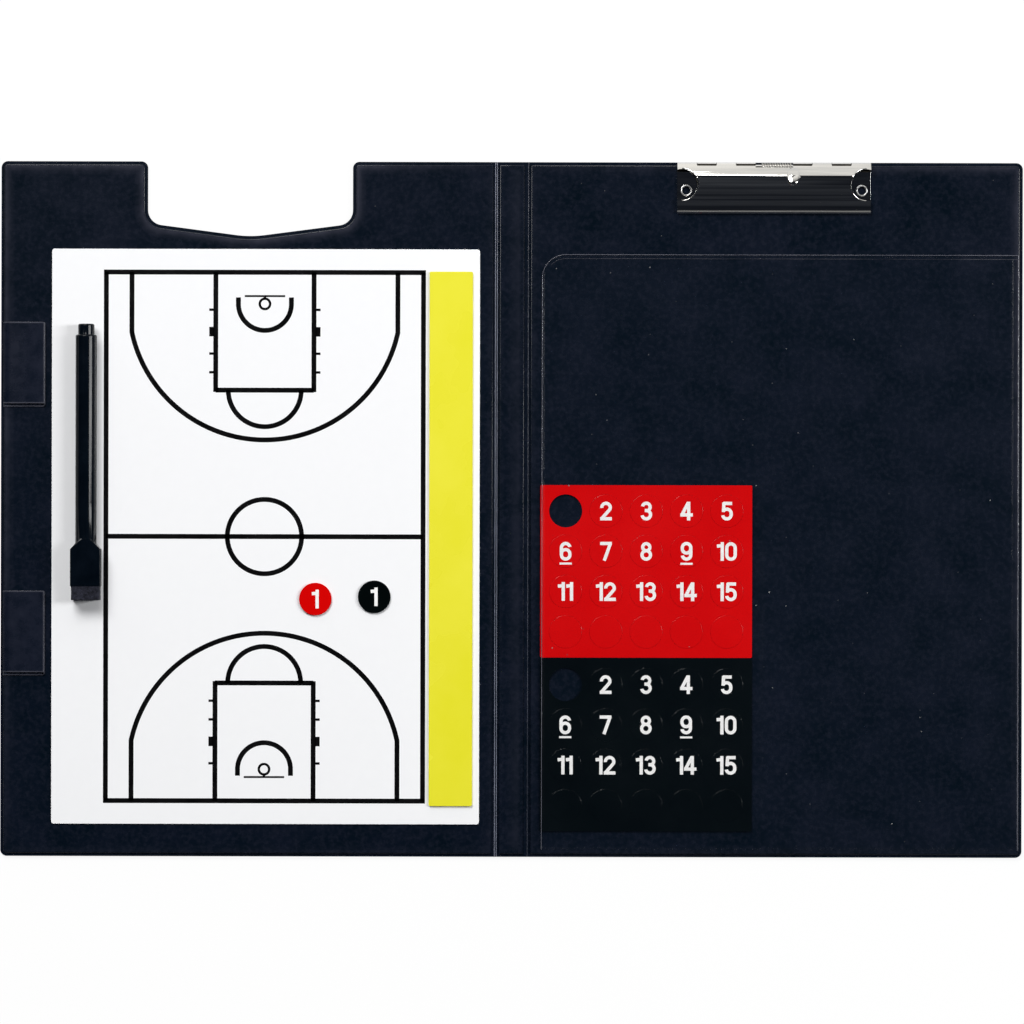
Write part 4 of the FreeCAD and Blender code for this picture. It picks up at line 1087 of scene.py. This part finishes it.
PIN_Y = 157.9
PIN_Z = 4.65
COIL = 1.35
WIRE_RADIUS = 0.35
COIL_FIRST_X = 114.81
COIL_LAST_X = 127.99
COIL_START = -102.0
COIL_SWEEP = 4090.0
COIL_STEPS = 280
# the spring's legs: along the base and above it, then out from the pin and down the clamp
BASE_LEG = ((-6.3, 4.08), (-2.6, 4.08), (-1.9, 4.0), (-1.2, 3.72))
CLAMP_LEG = ((2.05, -0.2), (2.05, 0.5), (2.23, 1.1), (2.23, 2.6))
RISE = math.radians(35.0)
FALL = math.radians(20.8)
CLIP_EASE = 0.12


def coil_point(share):
    angle = math.radians(COIL_START + COIL_SWEEP * share)
    x = COIL_FIRST_X + (COIL_LAST_X - COIL_FIRST_X) * share
    return Vector((x, PIN_Y + COIL * math.cos(angle), PIN_Z + COIL * math.sin(angle)))


def clip_spring():
    """The torsion spring: a leg on the base, the coil round the pin, and a leg on the clamp."""
    coil = [coil_point(index / COIL_STEPS) for index in range(COIL_STEPS + 1)]
    base_leg = [Vector((COIL_FIRST_X, PIN_Y + along, level)) for along, level in BASE_LEG]
    outward = Vector((0, math.sin(RISE), math.cos(RISE)))
    down_plate = Vector((0, -math.cos(RISE), math.sin(RISE)))
    pin = Vector((COIL_LAST_X, PIN_Y, PIN_Z))
    clamp_leg = [pin + outward * out + down_plate * down for out, down in CLAMP_LEG]
    points = base_leg + coil + clamp_leg
    piece = tube_along("clip_spring_wound", points, WIRE_RADIUS, WIRE)
    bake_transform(piece)
    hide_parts("clip_spring")


# the clamp's ridge: the apex where its slopes meet, and its bend's radius in CAD and here
APEX_Y = 153.427
APEX_Z = 9.491
CAD_RIDGE = 7.0
CRISP_RIDGE = 1.8
RIDGE_REACH_Y = 148.0
# the clamp's lip: its start, the levels of its two faces there, and the share of its rise that stays
LIP_Y = 138.39
LIP_TOP = 4.65
LIP_FOOT = 3.75
LIP_SLOPE = 0.75
LIP_SHARE = 0.19
# rows cut into the clamp, and the ripples along its long slope
RIDGE_ROWS = 17
RIDGE_FIRST_Y = 149.9
RIDGE_ROW = 0.41
RIPPLE_ROWS = 24
RIPPLE_FIRST_Y = 140.3
RIPPLE_ROW = 0.4
ROW_REACH = 0.002
RIPPLE = 0.016
RIPPLE_LENGTH = 3.1
SECOND_RIPPLE = 0.7
SECOND_RATE = 1.83
# heights up the page where the base's knuckles, darkened as painted shade, begin and end
KNUCKLE_Y = 155.6
KNUCKLE_CREST_Y = 159.25
# the lug, and the rims of the cut-outs
BOSS_X = 129.1
BOSS_Y = 153.4
BOSS_Z = 9.75
BOSS_LEAN = -24
BOSS_HALVES = (3.0, 4.3, 0.8)
CUTOUT_X = 42.4
CUTOUT_Y = 149.6
CUTOUT_RADIUS = 7.1
RIM = 0.36
RIM_STEPS = 60
RIM_OUTSET = 0.3
RIM_SINK = 0.05
ABOVE_CLIP = 30


def ridge_level(y, radius):
    """The height of the clamp's middle line where its ridge is bent to a radius."""
    reach = radius * math.tan((RISE + FALL) / 2)
    first = APEX_Y + reach * math.cos(RISE)
    last = APEX_Y - reach * math.cos(FALL)
    if y >= first:
        return APEX_Z - (y - APEX_Y) * math.tan(RISE)
    if y <= last:
        return APEX_Z - (APEX_Y - y) * math.tan(FALL)
    centre_y = first - radius * math.sin(RISE)
    centre_z = APEX_Z - reach * math.sin(RISE) - radius * math.cos(RISE)
    return centre_z + math.sqrt(radius * radius - (y - centre_y) ** 2)


def ripple_level(y):
    """The faint rolled waves along the clamp's long slope, which fade out at both its ends."""
    share = (y - RIPPLE_FIRST_Y) / (RIDGE_FIRST_Y - RIPPLE_FIRST_Y)
    if not 0 < share < 1:
        return 0.0
    turn = 2 * math.pi * (y - RIPPLE_FIRST_Y) / RIPPLE_LENGTH
    wave = math.sin(turn) + SECOND_RIPPLE * math.sin(SECOND_RATE * turn)
    return RIPPLE * math.sin(math.pi * share) * wave


def lip_level(y, z):
    """The height of a point of the clamp's lip where the lip turns up less."""
    middle = (LIP_TOP + LIP_FOOT) / 2 + (LIP_Y - y) * LIP_SLOPE
    level = LIP_TOP if z > middle else LIP_FOOT
    return level + (z - level) * LIP_SHARE


def clip_clamp():
    """The clamp with a crisper ridge and a lower lip, and a rolled rim round each cut-out."""
    bm = cad_copy("clip_clamp")
    rows = [RIPPLE_FIRST_Y + RIPPLE_ROW * index for index in range(RIPPLE_ROWS)]
    rows += [RIDGE_FIRST_Y + RIDGE_ROW * index for index in range(RIDGE_ROWS)]
    for row in rows:
        cut_across(bm, row, ROW_REACH)
    for vert in bm.verts:
        y = vert.co.y / MM
        if y > RIDGE_REACH_Y:
            vert.co.z += (ridge_level(y, CRISP_RIDGE) - ridge_level(y, CAD_RIDGE)) * MM
        vert.co.z += ripple_level(y) * MM
        if y < LIP_Y:
            vert.co.z = lip_level(y, vert.co.z / MM) * MM
    shade_smooth(bm)
    surface = BVHTree.FromBMesh(bm)
    piece = make_piece(bm, "clip_clamp_crisp", CHROME)
    ease_edges(piece, CLIP_EASE)
    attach(piece, "clamp")
    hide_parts("clip_clamp")
    clip_boss()
    for side, word in ((-1, "left"), (1, "right")):
        cutout_rim(surface, side, word)


def clip_boss():
    """The lug pressed out of the clamp's ridge, which leans towards the hinge."""
    bm = bmesh.new()
    lean = Matrix.Rotation(math.radians(BOSS_LEAN), 4, "X")
    size = Matrix.Diagonal((*BOSS_HALVES, 1.0))
    bmesh.ops.create_uvsphere(bm, u_segments=32, v_segments=16, radius=MM,
                              matrix=placed(BOSS_X, BOSS_Y, BOSS_Z) @ lean @ size)
    shade_smooth(bm)
    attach(make_piece(bm, "clip_lug", CHROME), "clamp")


def cutout_rim(surface, side, word):
    """A rolled rim that follows the clamp's face round one cut-out."""
    reach = CUTOUT_RADIUS + RIM_OUTSET
    points = []
    for index in range(RIM_STEPS + 1):
        angle = math.radians(90 + 180 * index / RIM_STEPS)
        x = CLIP_X + side * (CUTOUT_X + reach * math.cos(angle))
        y = CUTOUT_Y + reach * math.sin(angle)
        hit = surface.ray_cast(mm(x, y, ABOVE_CLIP), Vector((0, 0, -1)))[0]
        points.append(Vector((x, y, hit.z / MM - RIM_SINK)))
    piece = tube_along(f"clip_{word}_cutout_rim", points, RIM, CHROME)
    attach(piece, "clamp")


def clip_base():
    """The chrome base plate, its knuckles' feet, dark as painted shade, and their chrome crests."""
    bands = (
        ("plate", CHROME, ((KNUCKLE_Y, True),)),
        ("knuckles", KNUCKLE_SHADE, ((KNUCKLE_Y, False), (KNUCKLE_CREST_Y, True))),
        ("crests", CHROME, ((KNUCKLE_CREST_Y, False),)),
    )
    for word, material, cuts in bands:
        bm = cad_copy("clip_base")
        for cut, outer in cuts:
            cut_across(bm, cut, MERGE, clear_outer=outer, clear_inner=not outer)
            open_edges = [edge for edge in bm.edges if edge.is_boundary]
            bmesh.ops.holes_fill(bm, edges=open_edges)
        shade_smooth(bm)
        piece = make_piece(bm, f"clip_base_{word}", material)
        ease_edges(piece, CLIP_EASE)
        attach(piece, "back_cover")
        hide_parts("clip_base")


def spring_clip():
    clip_clamp()
    clip_base()
    clip_spring()


# Marker pen and its felt.

FELT_PASSES = 4
FELT_EDGE = 0.5
FELT_FADE = 1.0
TUFT = 0.16
TUFT_SINK = 0.1
TUFT_SCALE = 900
TUFT_NOISE = (0.8, 2.0, 3)


def marker_pen():
    softened("pen_barrel", PEN_BLACK, edge=0.12)
    softened("pen_end_plug", PEN_BLACK, edge=0.25)
    softened("pen_cap", PEN_BLACK, edge=0.2)


def eraser_felt():
    """The felt block, fuzzy with wear where it stands out of the cap."""
    cap_end = node_box("pen_cap")[0].y
    bm = cad_copy("eraser_felt")
    bmesh.ops.triangulate(bm, faces=bm.faces)
    for _ in range(FELT_PASSES):
        long_edges = [edge for edge in bm.edges if edge.calc_length() > FELT_EDGE * MM]
        bmesh.ops.subdivide_edges(bm, edges=long_edges, cuts=1)
        bmesh.ops.triangulate(bm, faces=bm.faces)
    bm.normal_update()
    for vert in bm.verts:
        bare = smooth_step((cap_end - vert.co.y / MM) / FELT_FADE)
        tuft = noise.fractal(vert.co * TUFT_SCALE, *TUFT_NOISE) * TUFT - TUFT_SINK
        vert.co += vert.normal * tuft * bare * MM
    shade_smooth(bm)
    piece = make_piece(bm, "eraser_felt_fuzzy", FELT, sharp=70.0)
    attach(piece, "marker_cap")
    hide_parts("eraser_felt")


# Pen loops.

LOOP_PROFILE = (
    (0.1, -0.05, 0.0),
    (0.45, 0.45, 0.0),
    (1.1, 0.8, 0.0),
    (9.0, 0.8, 0.0),
    (18.2, 0.8, 0.0),
    (18.8, 0.98, 0.1),
    (19.1, 1.5, 0.5),
    (18.8, 2.02, 0.9),
    (18.2, 2.2, 1.0),
    (10.0, 2.24, 1.0),
    (3.6, 2.18, 1.0),
    (2.0, 1.8, 1.0),
    (0.8, 1.0, 1.0),
    (0.0, 0.35, 1.0),
)
LOOP_SKEW = 1.5
LOOP_HEM = 0.45
LOOP_FADE = 0.25
LOOP_ENDS = 1.4
LOOP_FOLD_X = 18.5
LOOP_HIGHLIGHT = 0.8
LOOP_SHEET = 0.46
LOOP_EASE = 0.1


def pen_loop(word):
    """A strip of vinyl folded flat, its upper layer lying a little askew."""
    node = f"{word}_pen_loop"
    low, high = node_box(node)
    hinge = next(item for item in frame["joints"] if item["name"] == f"{word}_loop_swing")
    root = Vector(hinge["pos_m"]) / MM
    width = high.y - low.y - LOOP_SKEW
    bm = bmesh.new()
    painted_highlight = bm.verts.layers.float.new("painted_highlight")
    foot = [bm.verts.new(mm(root.x + x, low.y + LOOP_SKEW * askew, root.z + z))
            for x, z, askew in LOOP_PROFILE]
    edges = [bm.edges.new(pair) for pair in zip(foot, foot[1:])]
    # painted highlight: the loop's root, hems and fold are lightened
    for vert in foot:
        vert[painted_highlight] = 1.0
    first_steps = ((LOOP_HEM, LOOP_HIGHLIGHT), (LOOP_FADE, 0.0), (width - LOOP_ENDS, 0.0))
    last_steps = ((LOOP_FADE, LOOP_HIGHLIGHT), (LOOP_HEM, 1.0))
    for step, highlight_level in first_steps + last_steps:
        made = bmesh.ops.extrude_edge_only(bm, edges=edges)
        edges = [item for item in made["geom"] if isinstance(item, bmesh.types.BMEdge)]
        moved = [item for item in made["geom"] if isinstance(item, bmesh.types.BMVert)]
        bmesh.ops.translate(bm, vec=mm(0, step, 0), verts=moved)
        for vert in moved:
            at_fold = vert.co.x / MM - root.x > LOOP_FOLD_X
            vert[painted_highlight] = LOOP_HIGHLIGHT if at_fold else highlight_level
    bmesh.ops.recalc_face_normals(bm, faces=bm.faces)
    shade_smooth(bm)
    piece = make_piece(bm, f"{node}_folded", LOOP_VINYL, sharp=60.0)
    add_thickness(piece, LOOP_SHEET, 0.0)
    ease_edges(piece, LOOP_EASE)
    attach(piece, f"{word}_loop")
    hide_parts(node)


# Stage: floor, lamps, world and camera, in metres.

FLOOR_HALF = 4.0
FLOOR_GREY = 0.94
FLOOR_ROUGHNESS = 0.9
FLOOR_GLOW = 0.9
KEY_PLACE = (-0.7, 1.3, 1.7)
KEY_WATTS = 39.8
KEY_SIZE = (1.2, 0.9)
RIGHT_PLACE = (1.5, 0.2, 1.3)
RIGHT_WATTS = 24.5
RIGHT_SIZE = (0.36, 1.2)
FRONT_STOP = 0.04
FRONT_COLOUR = (0.055, 0.06, 0.07)
DIM_STOPS = (0.24, 0.72)
DIM_COLOUR = (0.010, 0.012, 0.017)
WALL_STOP = 0.87
WALL_COLOUR = (1.0, 0.985, 0.95)
CAMERA_HEIGHT = 2.5
CAMERA_SHIFT = (0.00023, -0.00115)
CAMERA_ROLL = 0.12
CAMERA_SENSOR = 36.0
CAMERA_FIELD = 0.4715
CAMERA_END = 50.0


def floor():
    bm = bmesh.new()
    bmesh.ops.create_grid(bm, x_segments=1, y_segments=1, size=FLOOR_HALF)
    mesh = bpy.data.meshes.new("floor")
    bm.to_mesh(mesh)
    bm.free()
    material = bpy.data.materials.new("pale floor")
    material.use_nodes = True
    tree = material.node_tree
    shader = tree.nodes["Principled BSDF"]
    set_inputs(shader, Base_Color=grey(FLOOR_GREY), Roughness=FLOOR_ROUGHNESS)
    glow = add_node(tree, "ShaderNodeEmission")
    set_inputs(glow, Color=grey(1.0), Strength=1.0)
    path = add_node(tree, "ShaderNodeLightPath")
    seen = add_node(tree, "ShaderNodeMath", operation="MAXIMUM")
    glossy = add_node(tree, "ShaderNodeMath", operation="MAXIMUM")
    share = add_node(tree, "ShaderNodeMath", operation="MULTIPLY")
    share.inputs[1].default_value = FLOOR_GLOW
    blend = add_node(tree, "ShaderNodeMixShader")
    join(tree, path, "Is Camera Ray", seen, 0)
    join(tree, path, "Is Glossy Ray", seen, 1)
    join(tree, seen, "Value", glossy, 0)
    join(tree, path, "Is Transmission Ray", glossy, 1)
    join(tree, glossy, "Value", share, 0)
    join(tree, share, "Value", blend, "Fac")
    join(tree, shader, "BSDF", blend, 1)
    join(tree, glow, "Emission", blend, 2)
    tree.links.new(blend.outputs["Shader"], tree.nodes["Material Output"].inputs["Surface"])
    mesh.materials.append(material)
    plane = bpy.data.objects.new("floor", mesh)
    bpy.context.scene.collection.objects.link(plane)


def softbox(name, place, watts, size):
    lamp = bpy.data.lights.new(name, "AREA")
    lamp.shape = "RECTANGLE"
    lamp.size, lamp.size_y = size
    lamp.energy = watts
    carrier = bpy.data.objects.new(name, lamp)
    carrier.location = place
    carrier.rotation_euler = (-Vector(place)).to_track_quat("-Z", "Y").to_euler()
    bpy.context.scene.collection.objects.link(carrier)


def studio_world():
    """A bright, slightly warm wall beyond the top of the board, in a dim room."""
    world = bpy.data.worlds.new("studio")
    world.use_nodes = True
    tree = world.node_tree
    back = tree.nodes["Background"]
    way = add_node(tree, "ShaderNodeTexCoord")
    parts = add_node(tree, "ShaderNodeSeparateXYZ")
    spread = add_node(tree, "ShaderNodeMapRange")
    set_inputs(spread, From_Min=-1.0)
    ramp = add_node(tree, "ShaderNodeValToRGB")
    ramp.color_ramp.elements[0].position = FRONT_STOP
    ramp.color_ramp.elements[0].color = colour(*FRONT_COLOUR)
    ramp.color_ramp.elements[1].position = WALL_STOP
    ramp.color_ramp.elements[1].color = colour(*WALL_COLOUR)
    for position in DIM_STOPS:
        ramp.color_ramp.elements.new(position).color = colour(*DIM_COLOUR)
    join(tree, way, "Generated", parts, "Vector")
    join(tree, parts, "Y", spread, "Value")
    join(tree, spread, "Result", ramp, "Fac")
    join(tree, ramp, "Color", back, "Color")
    back.inputs["Strength"].default_value = 1.0
    bpy.context.scene.world = world


def camera():
    """Straight down on the open board, from far enough to keep its edges square."""
    data = bpy.data.cameras.new("camera")
    data.sensor_width = CAMERA_SENSOR
    data.lens = CAMERA_SENSOR * (CAMERA_HEIGHT - COVER_FACE * MM) / CAMERA_FIELD
    data.clip_end = CAMERA_END
    carrier = bpy.data.objects.new("camera", data)
    carrier.location = (*CAMERA_SHIFT, CAMERA_HEIGHT)
    carrier.rotation_euler = (0, 0, math.radians(CAMERA_ROLL))
    bpy.context.scene.collection.objects.link(carrier)
    bpy.context.scene.camera = carrier


def studio():
    floor()
    studio_world()
    softbox("key softbox", KEY_PLACE, KEY_WATTS, KEY_SIZE)
    softbox("right softbox", RIGHT_PLACE, RIGHT_WATTS, RIGHT_SIZE)
    camera()
    bpy.context.scene.view_settings.view_transform = "Standard"


dress_cad_nodes()
vinyl_skins()
fold_webs()
softened("whiteboard_sheet", WHITE_STEEL, edge=0.12)
court_print()
softened("yellow_strip", YELLOW, edge=0.15)
for colour_name, magnet in (("red", RED), ("black", BLACK)):
    magnet_sheet(colour_name, magnet)
    loose_disc(colour_name, magnet)
pocket_film()
pocket_edges()
spring_clip()
marker_pen()
eraser_felt()
pen_loop("upper")
pen_loop("lower")
studio()
